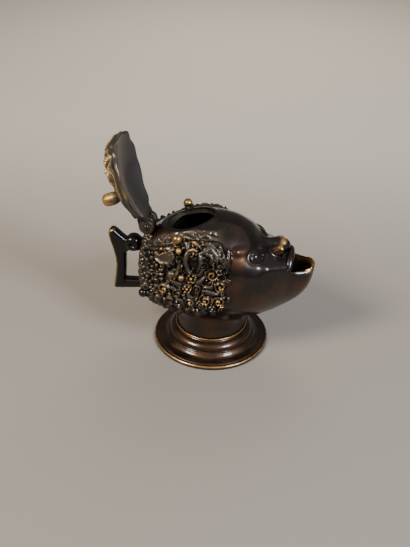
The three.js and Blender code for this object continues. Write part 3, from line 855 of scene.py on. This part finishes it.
def crown(x, y):
    """Points of the bare head's upper side over a plan."""
    crest, _, half, widest = section_at(x)
    share = np.clip(1 - np.abs(y / half) ** ROUND, 0, 1) ** (1 / ROUND)
    return np.stack((x, y, widest + (crest - widest) * share), 1)


lid_bm = bmesh.new()
bmesh.ops.create_uvsphere(lid_bm, u_segments=240, v_segments=120, radius=1)
ball = points_of(lid_bm)
turn = np.arctan2(ball[:, 1], ball[:, 0])
ring = np.arccos(np.clip(ball[:, 2], -1, 1)) / np.pi
edge_x, edge_y = lid_edge(turn)
rim_radius = LID_WALL / 2
inset = 1 - rim_radius / np.hypot(edge_x, edge_y)
round_turn = np.pi / 2 - np.pi * np.clip((ring - OUTER) / (RIM - OUTER), 0, 1)
share = inset + (1 - inset) * np.cos(round_turn)
share = np.where(ring < OUTER, inset * ring / OUTER, share)
share = np.where(ring > RIM, inset * (1 - ring) / (1 - RIM), share)
rise = SEAT_GAP + rim_radius * (1 + np.sin(round_turn))
foot_points = crown(LID_MIDDLE + share * edge_x, share * edge_y)
lid_out = normals_of(bare_head, foot_points)
lid_skin = foot_points + lid_out * rise[:, None]
print("lid of", len(lid_skin), "points")

# %% [markdown]
# ## Hair on the lid
# Locks run along the rim, as combed hair does round a crown, and inside them lie two rings of large
# curls with small ones between.

# %% Press the lid's hair
KNOB_X, KNOB_LEAN = -18.5, math.radians(12)
COMB, LID_CURL_TALL, LID_SMALL_TALL = 1.7, 2.9, 2.4  # spacing of the combed locks, heights of the curls
LID_SIZES = ((2.6, 200), (2, 500), (1.4, 900))  # radius in mm, throws
LID_RINGS = ((0.68, 11, 3.7), (0.34, 5, 3.9))  # share of the plan, number of curls, radius
root = crown(np.array([KNOB_X]), np.zeros(1))[0] + (0, 0, SEAT_GAP + LID_WALL)
outside = smoothstep(OUTER, OUTER - 0.02, ring)
from_edge = (1 - share) * np.hypot(edge_x, edge_y)
lid_hair = outside * smoothstep(0.2, 1.4, from_edge)
wave = np.cos(2 * np.pi * from_edge / COMB + 1.1 * np.sin(7 * turn) + 0.7 * np.sin(13 * turn + 1))
tufts = 0.75 + 0.25 * np.sin(11 * turn + 0.5 * from_edge)
lower = 0.45 + 0.55 * smoothstep(-18, 2, lid_skin[:, 0])  # towards the hinge
lid_height = np.where(from_edge < 9, tufts * (1.7 + 1.1 * wave), 0.6) * outside
lid_placed = [(root, 3.0)]
for reach, count, radius in LID_RINGS:
    for i in range(count):
        angle = 2 * np.pi * i / count
        x, y = (reach * float(v) for v in lid_edge(np.array(math.remainder(angle, 2 * np.pi))))
        away = np.hypot(lid_skin[:, 0] - LID_MIDDLE - x, lid_skin[:, 1] - y)
        spot = np.argmin(away + 50 * (outside < 0.5))
        if np.hypot(LID_MIDDLE + x - KNOB_X, y) < 5 or LID_MIDDLE + x < LID_BACK + 6:
            continue
        stamp = curl(radius, LID_CURL_TALL, (-1) ** i, 2.1 * i)
        press(lid_skin, lid_height, stamp, lid_skin[spot], lid_out[spot], ALONG)
        lid_placed.append((lid_skin[spot], radius))
made = fill(lid_skin, lid_out, lid_hair * (from_edge > 5), lid_placed, lid_height,
            LID_SIZES, LID_SMALL_TALL, np.full(len(lid_skin), 0.25), ALONG)
lid_grain = 0.3 * ripple(lid_skin, 1.2, 9)
move_to(lid_bm, lid_skin + lid_out * (lid_hair * (0.3 + lower * lid_height + lid_grain))[:, None])
print(made, "small curls on the lid")

# %% [markdown]
# ## Knob and knuckles of the lid
# The knob is a bud on a short stem, a profile spun round its own axis, then fluted a little. The two
# outer knuckles of the hinge sit on arms that grow out of the shell; a slot leaves room for the middle
# one.

# %% Join the lid
BUD = [  # radius and height
    (0, -1), (2.9, -1), (2.6, 0), (2.2, 2), (2.2, 4), (2.9, 5.4), (3.5, 7.2), (3.7, 9.4), (3.6, 11.4),
    (3.2, 13), (2.3, 14), (1.1, 14.4), (0, 14.5),
]
FLUTES, FLUTE_DEPTH = 6, 0.02
knob_bm = spun(rounded(BUD), 48)
knob_points = points_of(knob_bm)
around = np.arctan2(knob_points[:, 1], knob_points[:, 0])
flute = 1 + FLUTE_DEPTH * np.cos(FLUTES * around) * smoothstep(4, 9, knob_points[:, 2])
move_to(knob_bm, knob_points * np.stack((flute, flute, np.ones_like(flute)), 1))
turned(knob_bm, Matrix.Rotation(-KNOB_LEAN, 3, "Y"), root)
lid = as_object("bronze_lid", lid_bm)
combine(lid, as_object("knob", knob_bm), "UNION")
room = KNUCKLE + PLAY
for low, high in ((room, HINGE_HALF), (-HINGE_HALF, -room)):
    arm = rounded_box((HINGE_X, low, HINGE_Z + 0.9), (HINGE_X + 8, high, HINGE_Z + 4.1), 0.7)
    combine(lid, as_object("arm", arm), "UNION")
    combine(lid, as_object("barrel", cross_bar(BARREL, low, high, 0.5, (HINGE_X, HINGE_Z))), "UNION")
slot = rounded_box((HINGE_X - 8, -room, HINGE_Z - 12), (HINGE_X + BARREL + 0.8, room, HINGE_Z + 12), 0.2)
combine(lid, as_object("slot", slot))
pin_hole = cross_bar(PIN + PLAY, -HINGE_HALF - 1, HINGE_HALF + 1, 0, (HINGE_X, HINGE_Z))
combine(lid, as_object("pin_hole", pin_hole))
print("lid of", len(lid.data.polygons), "faces")

# %% [markdown]
# ## Foot
# The foot is turned on a lathe: a flange with a double bead, a dished ring, a fat round moulding and a
# ledge under the neck. A spin of half its section makes it, hollow below.

# %% Spin the foot
FOOT_PROFILE = [  # radius and height, up the outside and back inside
    (31, 0), (33.1, 0), (33.65, 0.35), (33.8, 1), (33.6, 1.8), (33.1, 2.3), (32.4, 2.45), (31.9, 2.1),
    (31.65, 1.95), (31.35, 2.15), (30.9, 2.55), (30.3, 2.55), (29.8, 2.35), (28.2, 2.6), (26.9, 3.1),
    (26, 3.8), (25.5, 4.6), (25.15, 5), (24.75, 5.05), (24.5, 5.3), (24.6, 6), (24.5, 6.9), (24.1, 7.8),
    (23.4, 8.6), (22.5, 9.25), (21.6, 9.65), (20.9, 9.85), (20.4, 10.1), (20.25, 10.4), (20.5, 10.75),
    (20.85, 11.1), (20.85, 11.5), (20.5, 11.8), (20, 11.9), (16.4, 11.9), (16.4, 9.4), (20.6, 6.2),
    (22.4, 2.4), (29.4, 0.9), (31, 0),
]
foot = as_object("bronze_foot", spun(FOOT_PROFILE, 160))
print("foot", 2 * max(r for r, _ in FOOT_PROFILE), "mm across")

# %% [markdown]
# ## Handle
# The handle is a cast strap with a thumb rest that leans out, and a round boss with a drilled eye
# where it meets the hair. Its side view is extruded across and the boss joined on; then the whole is
# remeshed in fine voxels and smoothed, which rounds every edge as years of handling do.

# %% Extrude the strap
STRAP = [  # side view, along the lamp and in height
    (-36.5, 31.2), (-51, 29.5), (-56, 29), (-57.4, 29.4), (-57.5, 31), (-56.9, 35), (-56.1, 40.4),
    (-55.6, 46), (-56, 51), (-57.2, 56.4), (-58.6, 61.3), (-59.4, 65), (-58.8, 67.4), (-57.2, 68.6),
    (-55.4, 68.4), (-52, 65.2), (-49, 62.4), (-46.5, 63.6), (-43, 63), (-38, 62.4), (-38, 56), (-44, 55.2),
    (-47.4, 55.2), (-49.2, 54), (-49.6, 49), (-49.7, 44), (-50.1, 39.4), (-50.4, 35.8), (-36.5, 36.2),
]
STRAP_WIDE, STRAP_EDGE = 6.8, 2.2
BOSS = [  # radius and height of one half
    (0, 2.4), (0.9, 2.6), (1.4, 3.9), (2.0, 4.5), (3, 4.4), (4.1, 3.6), (4.8, 2.2), (5, 0),
]
BOSS_X, BOSS_Z = -45.2, 60
LYING = Matrix.Rotation(math.pi / 2, 3, "X")  # lays an upright axis across the lamp
VOXEL, SMOOTHINGS = 0.34, 16


def rounded_off(piece, voxel, passes):
    """Remeshes a piece in voxels and smooths its edges."""
    remesh = piece.modifiers.new("remesh", "REMESH")
    remesh.mode = "VOXEL"
    remesh.voxel_size = voxel * MM
    smooth = piece.modifiers.new("smooth", "SMOOTH")
    smooth.factor, smooth.iterations = 0.5, passes
    apply_modifiers(piece)


handle = as_object("bronze_handle", across(STRAP, STRAP_WIDE / 2, STRAP_EDGE))
boss = spun(BOSS + [(r, -z) for r, z in BOSS[-2::-1]], 48)
combine(handle, as_object("boss", turned(boss, LYING, (BOSS_X, 0, BOSS_Z))), "UNION")
rounded_off(handle, VOXEL, SMOOTHINGS)
print("handle of", len(handle.data.polygons), "faces")

# %% [markdown]
# ## Hinge pin
# A plain rod through all three knuckles, hammered to a low dome at both ends.

# %% Spin the pin
PIN_PROFILE = [  # radius and place along the pin
    (0, -7.5), (0.9, -7.4), (1.5, -7.1), (1.65, -6.85), (1.3, -6.7), (1.3, 6.7), (1.65, 6.85), (1.5, 7.1),
    (0.9, 7.4), (0, 7.5),
]
pin = as_object("bronze_pin", turned(spun(PIN_PROFILE, 32), LYING, (HINGE_X, 0, HINGE_Z)))
print("pin", round(PIN_PROFILE[-1][1] * 2, 1), "mm long")

# %% [markdown]
# ## Where hands rub and dirt stays
# On old bronze the high edges are rubbed to bright metal and the hollows stay dark, and the hollow of the C
# is painted black as painted shade. Each vertex gets its relief, how far it stands above the same surface
# smoothed by a few passes over the edges, its dust, which dulls the hair and is painted light on the shaded
# inside walls, and its warmth, where the brown is redder. The material reads all three.

# %% Measure the relief
PASSES, WEIGHTS = (5, 30), (1.0, 0.5)  # smoothing passes before relief is taken, how much each counts


def mark_relief(piece, care, passes=PASSES, weights=WEIGHTS):
    """Writes what the material reads: rubbed and dirty relief in mm with painted shade in it, dust with
    painted light on the inside walls, and warmth.
    """
    mesh = piece.data
    count = len(mesh.vertices)
    place = np.empty(count * 3)
    mesh.vertices.foreach_get("co", place)
    place = place.reshape(-1, 3) / MM
    normal = np.empty(count * 3)
    mesh.vertices.foreach_get("normal", normal)
    ends = np.empty(len(mesh.edges) * 2, int)
    mesh.edges.foreach_get("vertices", ends)
    a, b = ends.reshape(-1, 2).T
    neighbours = np.maximum(np.bincount(np.concatenate((a, b)), minlength=count), 1)
    soft = place.copy()
    relief = np.zeros(count)
    for step in range(1, max(passes) + 1):
        for axis in range(3):
            sums = np.bincount(a, soft[b, axis], count) + np.bincount(b, soft[a, axis], count)
            soft[:, axis] = 0.5 * soft[:, axis] + 0.5 * sums / neighbours
        if step in passes:
            relief += weights[passes.index(step)] * ((place - soft) * normal.reshape(-1, 3)).sum(1)
    rub, dirt, dust_and_painted_light, bare, warm = care(place - (FOOT_X, 0, 0))
    kept = np.where(relief > 0, relief * rub, relief * dirt) + bare
    for name, values in {"relief": kept, "dust_and_painted_light": dust_and_painted_light, "warm": warm}.items():
        mesh.attributes.new(name, "FLOAT", "POINT").data.foreach_set("value", values * np.ones(count))
    return relief


print("relief is measured after", PASSES, "smoothing passes")

# %% Places that are kept bright or dull
RUBBED = [  # x, height, reach of the places on the head that are rubbed bright
    (-24, 67.5, 5), (-16.4, 76, 4), (-16.4, 59, 5), (-8.7, 57.3, 4.4), (-10.7, 51.3, 4), (-9.6, 70.4, 3.5),
    (-8, 73.6, 3.5), (2.2, 60.1, 4), (6.8, 54.1, 4), (-23.4, 48.5, 4), (-1, 45.4, 4), (6.2, 44.7, 4),
    (-9, 42.4, 3), (-27, 63, 3), (43, 55, 2), (48, 55, 4), (53, 56, 4), (38, 69.6, 2.2),
]
WARM = [  # x, height, reach of the reddish and golden brown patches on the head and neck
    (3, 20, 8), (13, 21, 5), (14, 51, 5), (17, 45, 6), (15, 67, 5), (36, 65, 3), (26, 40, 7), (50, 46, 4),
]
NOSE_TOP, NOSE_REACH = (38.2, 0, 69.4), 2.4
FAINT = 0.25  # share of the rubbing away from the bright places
SKIN_DEPTH, HOLLOW_LOW, NECK_DULL, HINGE_LOW = 0.9, 22, 18, 66  # where the inside, neck and hinge begin
FOOT_LINES = [(33.4, 2.1, 0.5), (30.6, 2.6, 0.35), (20.8, 11.3, 0.45), (25, 5, 0.25)]  # radius, height, reach


def spots_rub(offsets, reach):
    """1 at the nearest of some spots, falling to 0 away from them."""
    return np.exp(-((offsets**2).sum(2) / np.array(reach) ** 2)).max(1)


def head_care(p):
    """Bright at the listed places, dull on the neck, under the hinge and inside; dusty hair, painted light on
    the inside walls and painted shade in the hollow of the C.
    """
    spots, patches, recess = np.array(RUBBED), np.array(WARM), np.array([RECESS])
    side_view = p[:, None, (0, 2)]
    half = folded(p)
    inside = (bare_head(p) < -SKIN_DEPTH) & (p[:, 2] > HOLLOW_LOW)
    dull = inside | (p[:, 2] < NECK_DULL) | ((p[:, 0] < LID_BACK) & (p[:, 2] > HINGE_LOW))
    bright = FAINT + (1 - FAINT) * spots_rub(side_view - spots[:, :2], spots[:, 2])
    rub = np.where(dull & (p[:, 0] < MOUTH_BACK), 0.1, bright)
    hairy = np.maximum(hair_mask(half) * seat_mask(half), band_mask(half))
    beside = smoothstep(0.74, 0.8, seat_distance(p)) * smoothstep(8, 2, p[:, 0])
    beside *= (half[:, 1] > 10) * (p[:, 2] > BAND_LOW)
    balls = np.array([on_side(x, z, lift) for x, z, _, lift in BALLS])
    on_ball = (np.linalg.norm(half[:, None] - balls, axis=2) < np.array(BALLS)[:, 2] + 0.1).any(1)
    # painted light: the inside walls take the lighter olive dust tone in full, standing in for light on the
    # shaded inside
    dust_and_painted_light = np.where(on_ball, 0, np.maximum(0.8 * np.maximum(hairy, beside), inside))
    bare = 0.3 * on_ball * (p[:, 2] > BAND_LOW)
    bare += 0.38 * spots_rub(half[:, None] - np.array([NOSE_TOP]), NOSE_REACH)
    sunk = spots_rub(side_view - recess, 2.2)  # painted shade: the hollow of the C is painted black
    warm = spots_rub(side_view - patches[:, :2], patches[:, 2])
    # painted shade: taking sunk from the rubbing makes the hollow of the C black
    return rub, np.where(inside, 0, 1), dust_and_painted_light * (1 - sunk), bare - 0.6 * sunk, warm


def foot_care(p):
    """Bright lines on the beads of the foot."""
    lines = np.array(FOOT_LINES)
    place = np.stack((np.hypot(p[:, 0], p[:, 1]), p[:, 2]), 1)
    return spots_rub(place[:, None] - lines[:, :2], lines[:, 2]), 0.2, 0, 0, 0.5


def handle_care(p):
    """Bright along the outer edge and round the thumb rest."""
    outer = sorted((z, x) for x, z in STRAP if x < -55)
    from_outer = p[:, 0] - np.interp(p[:, 2], *zip(*outer))
    line = np.exp(-(((from_outer - 0.5) / 0.9) ** 2)) * (np.abs(p[:, 1]) > 0.6)
    return 0.1 + 1.5 * smoothstep(62, 66, p[:, 2]), 0.5, 0, 0.62 * line, 0


def lid_care(p):
    """Bright on the knob and the outer hair, dull inside and at the hinge."""
    knob = 1.6 * (np.hypot(p[:, 0] - KNOB_X + 2, p[:, 1]) < 6.5) * smoothstep(84, 87, p[:, 2])
    hinge_zone = np.hypot(p[:, 0] - HINGE_X, p[:, 2] - HINGE_Z) < 6.5
    inside = bare_head(p) < SEAT_GAP + 0.8
    outer = FAINT + (1 - FAINT) * smoothstep(-20, 0, p[:, 0])
    rub = np.where(hinge_zone | inside, 0.1, outer + knob)
    bare = 0.22 * (knob > 1) * smoothstep(88, 92, p[:, 2])
    return rub, np.where(inside, 0, 1), np.where(hinge_zone, 1, np.where(inside, 0.2, 0.7)), bare, 0


def pin_care(p):
    """Never rubbed."""
    return 0.2, 0.5, 0.3, 0, 0


PIECES = {  # piece: node that it stands for, body, material slot, how it is kept
    lamp_head: ("lamp_head", "lamp", "dark_bronze", head_care),
    foot: ("foot", "lamp", "foot_bronze", foot_care),
    handle: ("handle", "lamp", "handle_bronze", handle_care),
    pin: ("hinge_pin", "lamp", "pin_bronze", pin_care),
    lid: ("lid", "lid", "lid_bronze", lid_care),
}
for piece, (_, _, _, care) in PIECES.items():
    piece.data.shade_smooth()
    piece.data.set_sharp_from_angle(angle=math.radians(50))
    relief = mark_relief(piece, care)
    triangles = sum(len(face.vertices) - 2 for face in piece.data.polygons)
    print(piece.name, triangles, "triangles, relief", np.percentile(relief, (2, 50, 98)).round(2))

# %% [markdown]
# ## Open the lid
# So far the lid lies closed over the head. The photograph shows it open, so its mesh is turned about
# the hinge by the whole range of the joint.

# %% Open the lid
place = Vector(hinge["pos_m"])
lid.data.transform(Matrix.Translation(place) @ Matrix.Rotation(-OPEN, 4, "Y") @ Matrix.Translation(-place))
print("lid open by", round(math.degrees(OPEN)), "degrees")

# %% [markdown]
# ## Patinated bronze
# Cast bronze browned with heat and liver of sulphur, then waxed. Most of it is a brown skin with
# reddish clouds, the wax lays a thin clear coat over it, rubbed edges show golden metal, and the
# hollows hold black wax and dust.

# %% Bronze material


def linear(hex_colour):
    """An sRGB hex colour as linear red, green, blue and alpha."""
    parts = [int(hex_colour[i:i + 2], 16) / 255 for i in (1, 3, 5)]
    return [c / 12.92 if c <= 0.04045 else ((c + 0.055) / 1.055) ** 2.4 for c in parts] + [1]


def add(tree, kind, inputs=None, **settings):
    """A node with its settings, and its inputs as values or links."""
    node = tree.nodes.new("ShaderNode" + kind)
    for key, value in settings.items():
        setattr(node, key, value)
    for key, value in (inputs or {}).items():
        if isinstance(value, bpy.types.NodeSocket):
            tree.links.new(value, node.inputs[key])
        else:
            node.inputs[key].default_value = value
    return node


# The dust colour is dust in the hair and painted light on the shaded inside walls; the hollow colour is black
# wax, and painted shade in the hollow of the C
GOLD, HOLLOW, DUST_AND_PAINTED_LIGHT = "#b3884c", "#120e0b", "#50473a"
CLOUD_SIZE, SPECK_SIZE, GRAIN_SIZE = 13 * MM, 2.2 * MM, 0.7 * MM


def bronze(name, skin, cloud, gold, wear, rough=(0.3, 0.46), coat=0.6):
    """Browned and waxed cast bronze, golden where it is rubbed."""
    material = bpy.data.materials.new(name)
    material.use_nodes = True
    tree = material.node_tree
    shader = tree.nodes["Principled BSDF"]
    place = add(tree, "TexCoord").outputs["Object"]
    relief = add(tree, "Attribute", attribute_name="relief").outputs["Fac"]
    dust_and_painted_light = add(tree, "Attribute", attribute_name="dust_and_painted_light").outputs["Fac"]
    warm = add(tree, "Attribute", attribute_name="warm").outputs["Fac"]
    clouds = add(tree, "TexNoise", {"Vector": place, "Scale": 1 / CLOUD_SIZE, "Detail": 5.0,
                                    "Roughness": 0.62}).outputs["Fac"]
    specks = add(tree, "TexNoise", {"Vector": place, "Scale": 1 / SPECK_SIZE, "Detail": 4.0,
                                    "Roughness": 0.6}).outputs["Fac"]
    grain = add(tree, "TexNoise", {"Vector": place, "Scale": 1 / GRAIN_SIZE, "Detail": 3.0}).outputs["Fac"]
    # The clouds give the brown skin its reddish and darker patches, most where the lamp was heated
    heated = add(tree, "Math", {0: warm, 1: 0.26, 2: clouds}, operation="MULTIPLY_ADD").outputs["Value"]
    reddish = add(tree, "MapRange", {"Value": heated, "From Min": 0.5, "From Max": 0.76}).outputs["Result"]
    browned = add(tree, "Mix", {"Factor": reddish, "A": linear(skin), "B": linear(cloud)}, data_type="RGBA")
    # Dust in the hair makes the brown olive and dull; the inside walls get the same lighter olive as painted
    # light
    dusty_and_lit = add(tree, "Mix", {"Factor": dust_and_painted_light, "A": browned.outputs["Result"], "B": linear(DUST_AND_PAINTED_LIGHT)},
                data_type="RGBA")
    # Specks break the edge between rubbed metal and patina
    spread = 0.4 * (wear[1] - wear[0])
    uneven = add(tree, "MapRange", {"Value": specks, "From Min": 0.25, "From Max": 0.75,
                                    "To Min": -spread, "To Max": spread}).outputs["Result"]
    worn = add(tree, "Math", {0: relief, 1: uneven}, operation="ADD").outputs["Value"]
    rubbed = add(tree, "MapRange", {"Value": worn, "From Min": wear[0], "From Max": wear[1]},
                 interpolation_type="SMOOTHSTEP").outputs["Result"]
    golden = add(tree, "Mix", {"Factor": rubbed, "A": dusty_and_lit.outputs["Result"], "B": linear(gold)},
                 data_type="RGBA")
    # Black wax stays in the hollows, and the hollow of the C gets its painted shade here
    sunk = add(tree, "MapRange", {"Value": worn, "From Min": -0.10, "From Max": -0.55},
               interpolation_type="SMOOTHSTEP").outputs["Result"]
    dark = add(tree, "Mix", {"Factor": sunk, "A": golden.outputs["Result"], "B": linear(HOLLOW)},
               data_type="RGBA")
    # The polish changes with the clouds, and dust dulls it
    polish = add(tree, "MapRange", {"Value": clouds, "From Min": 0.3, "From Max": 0.7,
                                    "To Min": rough[0], "To Max": rough[1]}).outputs["Result"]
    dulled = add(tree, "Math", {0: dust_and_painted_light, 1: 0.14, 2: polish}, operation="MULTIPLY_ADD")
    # The wax is rubbed off where dust lies and on the inside walls with their painted light, and the sand of
    # the mould leaves a faint grain
    waxed = add(tree, "MapRange", {"Value": dust_and_painted_light, "To Min": coat, "To Max": 0.3 * coat})
    bump = add(tree, "Bump", {"Height": grain, "Strength": 0.25, "Distance": 0.12 * MM})
    tree.links.new(dark.outputs["Result"], shader.inputs["Base Color"])
    tree.links.new(dulled.outputs["Value"], shader.inputs["Roughness"])
    tree.links.new(waxed.outputs["Result"], shader.inputs["Coat Weight"])
    tree.links.new(bump.outputs["Normal"], shader.inputs["Normal"])
    shader.inputs["Coat Roughness"].default_value = 0.1
    shader.inputs["Metallic"].default_value = 0.9
    return material


# %% Five finishes
FINISH = {  # name, brown skin, reddish clouds, rubbed metal, relief in mm where rubbing starts and ends
    "dark_bronze": bronze("waxed_brown_bronze", "#2b2420", "#482f1d", GOLD, (0.25, 0.75)),
    "foot_bronze": bronze("turned_brown_bronze", "#312820", "#4a311f", GOLD, (0.2, 0.6)),
    "handle_bronze": bronze("dark_strap_bronze", "#17120f", "#21180f", "#a58246", (0.25, 0.7)),
    "pin_bronze": bronze("pin_bronze", "#2a241c", "#30281c", "#8a6c3c", (0.3, 0.8)),
    "lid_bronze": bronze("lid_grey_brown_bronze", "#5e5856", "#61564f", "#b08c54", (0.2, 0.65), (0.36, 0.46)),
}
for piece, (node, body, slot_name, _) in PIECES.items():
    piece.data.materials.clear()
    piece.data.materials.append(FINISH[slot_name])
    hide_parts(node)
    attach(piece, body)
print(len(FINISH), "bronze finishes")

# %% [markdown]
# ## Table and light
# The lamp stands on warm grey paper, painted darker in front and paler behind as painted shade and
# painted light for how the light falls off. Two soft boxes stand in front, the right one a little cool. A
# third lights the paper behind, a dim board overhead lays a sheen on the brow, and a grey room fills the
# shadows.

# %% Paper floor
PAINTED_FALLOFF_START, PAINTED_FALLOFF_END = 20 * MM, 330 * MM  # depths behind the lamp over which the painted light takes the paper from darker to paler
PAPER_HALF = 1600 * MM
# the paper's colour with painted shade in front and painted light behind
PAPER_SHADED_FRONT, PAPER_LIT_BACK = "#827a6f", "#a69e91"


def paper():
    """Matt warm grey backdrop paper with painted shade in front and painted light behind: darker in front,
    paler behind.
    """
    material = bpy.data.materials.new("backdrop_paper_painted_falloff")
    material.use_nodes = True
    tree = material.node_tree
    shader = tree.nodes["Principled BSDF"]
    place = add(tree, "TexCoord").outputs["Object"]
    depth = add(tree, "SeparateXYZ", {"Vector": place}).outputs["Y"]
    behind = add(tree, "MapRange", {"Value": depth, "From Min": PAINTED_FALLOFF_START, "From Max": PAINTED_FALLOFF_END},
                 interpolation_type="SMOOTHSTEP").outputs["Result"]
    # painted shade and painted light: the paper's colour goes from darker in front to paler behind
    painted_falloff_tone = add(tree, "Mix", {"Factor": behind, "A": linear(PAPER_SHADED_FRONT), "B": linear(PAPER_LIT_BACK)},
               data_type="RGBA")
    tree.links.new(painted_falloff_tone.outputs["Result"], shader.inputs["Base Color"])
    shader.inputs["Roughness"].default_value = 0.9
    return material


floor_bm = bmesh.new()
bmesh.ops.create_grid(floor_bm, x_segments=2, y_segments=2, size=PAPER_HALF)
floor_mesh = bpy.data.meshes.new("paper_floor")
floor_bm.to_mesh(floor_mesh)
floor_bm.free()
floor = bpy.data.objects.new("paper_floor", floor_mesh)
scene.collection.objects.link(floor)
floor_mesh.materials.append(paper())
print("paper", 2 * PAPER_HALF, "m square")

# %% Lights
CENTRE = Vector((0, 0, 45)) * MM


def towards(azimuth, elevation):
    """Direction to a place in degrees; azimuth 0 is the photographer's side, 90 the right."""
    a, e = math.radians(azimuth), math.radians(elevation)
    return Vector((math.sin(a) * math.cos(e), -math.cos(a) * math.cos(e), math.sin(e)))


def soft_light(name, azimuth, elevation, distance, size, watts, colour, aim=CENTRE):
    """A square soft box that looks at a point; distance and size in mm."""
    data = bpy.data.lights.new(name, "AREA")
    data.size = size * MM
    data.energy = watts
    data.color = linear(colour)[:3]
    light = bpy.data.objects.new(name, data)
    away = towards(azimuth, elevation)
    light.location = aim + away * distance * MM
    light.rotation_euler = away.to_track_quat("Z", "Y").to_euler()
    scene.collection.objects.link(light)
    return light


soft_light("left_soft_box", -50, 42, 950, 270, 12.5, "#fff7ee")
soft_light("right_soft_box", 52, 38, 950, 270, 11.5, "#dfebff")
backdrop = soft_light("backdrop_soft_box", 180, 78, 600, 500, 6.0, "#fffaf4", Vector((0, 560, 0)) * MM)
backdrop.visible_glossy = False  # it lights the paper behind, and is masked off from the bronze
soft_light("top_board", 110, 68, 800, 900, 0.8, "#fff4ea")
world = bpy.data.worlds.new("grey_room")
world.use_nodes = True
scene.world = world
background = world.node_tree.nodes["Background"]
background.inputs["Color"].default_value = linear("#b9b6b4")
background.inputs["Strength"].default_value = 0.28
print(len(bpy.data.lights), "lights")

# %% [markdown]
# ## Camera
# The photograph was taken from above the lamp's right side, a little turned towards the mouth and
# with the camera tipped by less than two degrees. Distance, height and lens were worked out from the
# foot's oval and the middle plane of the head.

# %% Camera
AZIMUTH, ELEVATION, ROLL = 6, 33.52, math.radians(1.659)
DISTANCE = 400 * MM
LOOK_AT = Vector(((-4.512 + FOOT_X) * MM, 0, 42.79 * MM))
FOCAL_PIXELS, IMAGE_TALL, SENSOR = 701.9, 547, 36.0
away = towards(AZIMUTH, ELEVATION)
camera_data = bpy.data.cameras.new("camera")
camera_data.sensor_width = SENSOR
camera_data.lens = FOCAL_PIXELS / IMAGE_TALL * SENSOR
camera = bpy.data.objects.new("camera", camera_data)
camera.location = LOOK_AT + away * DISTANCE
facing = away.to_track_quat("Z", "Y").to_matrix() @ Matrix.Rotation(ROLL, 3, "Z")
camera.rotation_euler = facing.to_euler()
scene.collection.objects.link(camera)
scene.camera = camera
print("camera at", [round(v, 3) for v in camera.location], "lens", round(camera_data.lens, 1), "mm")
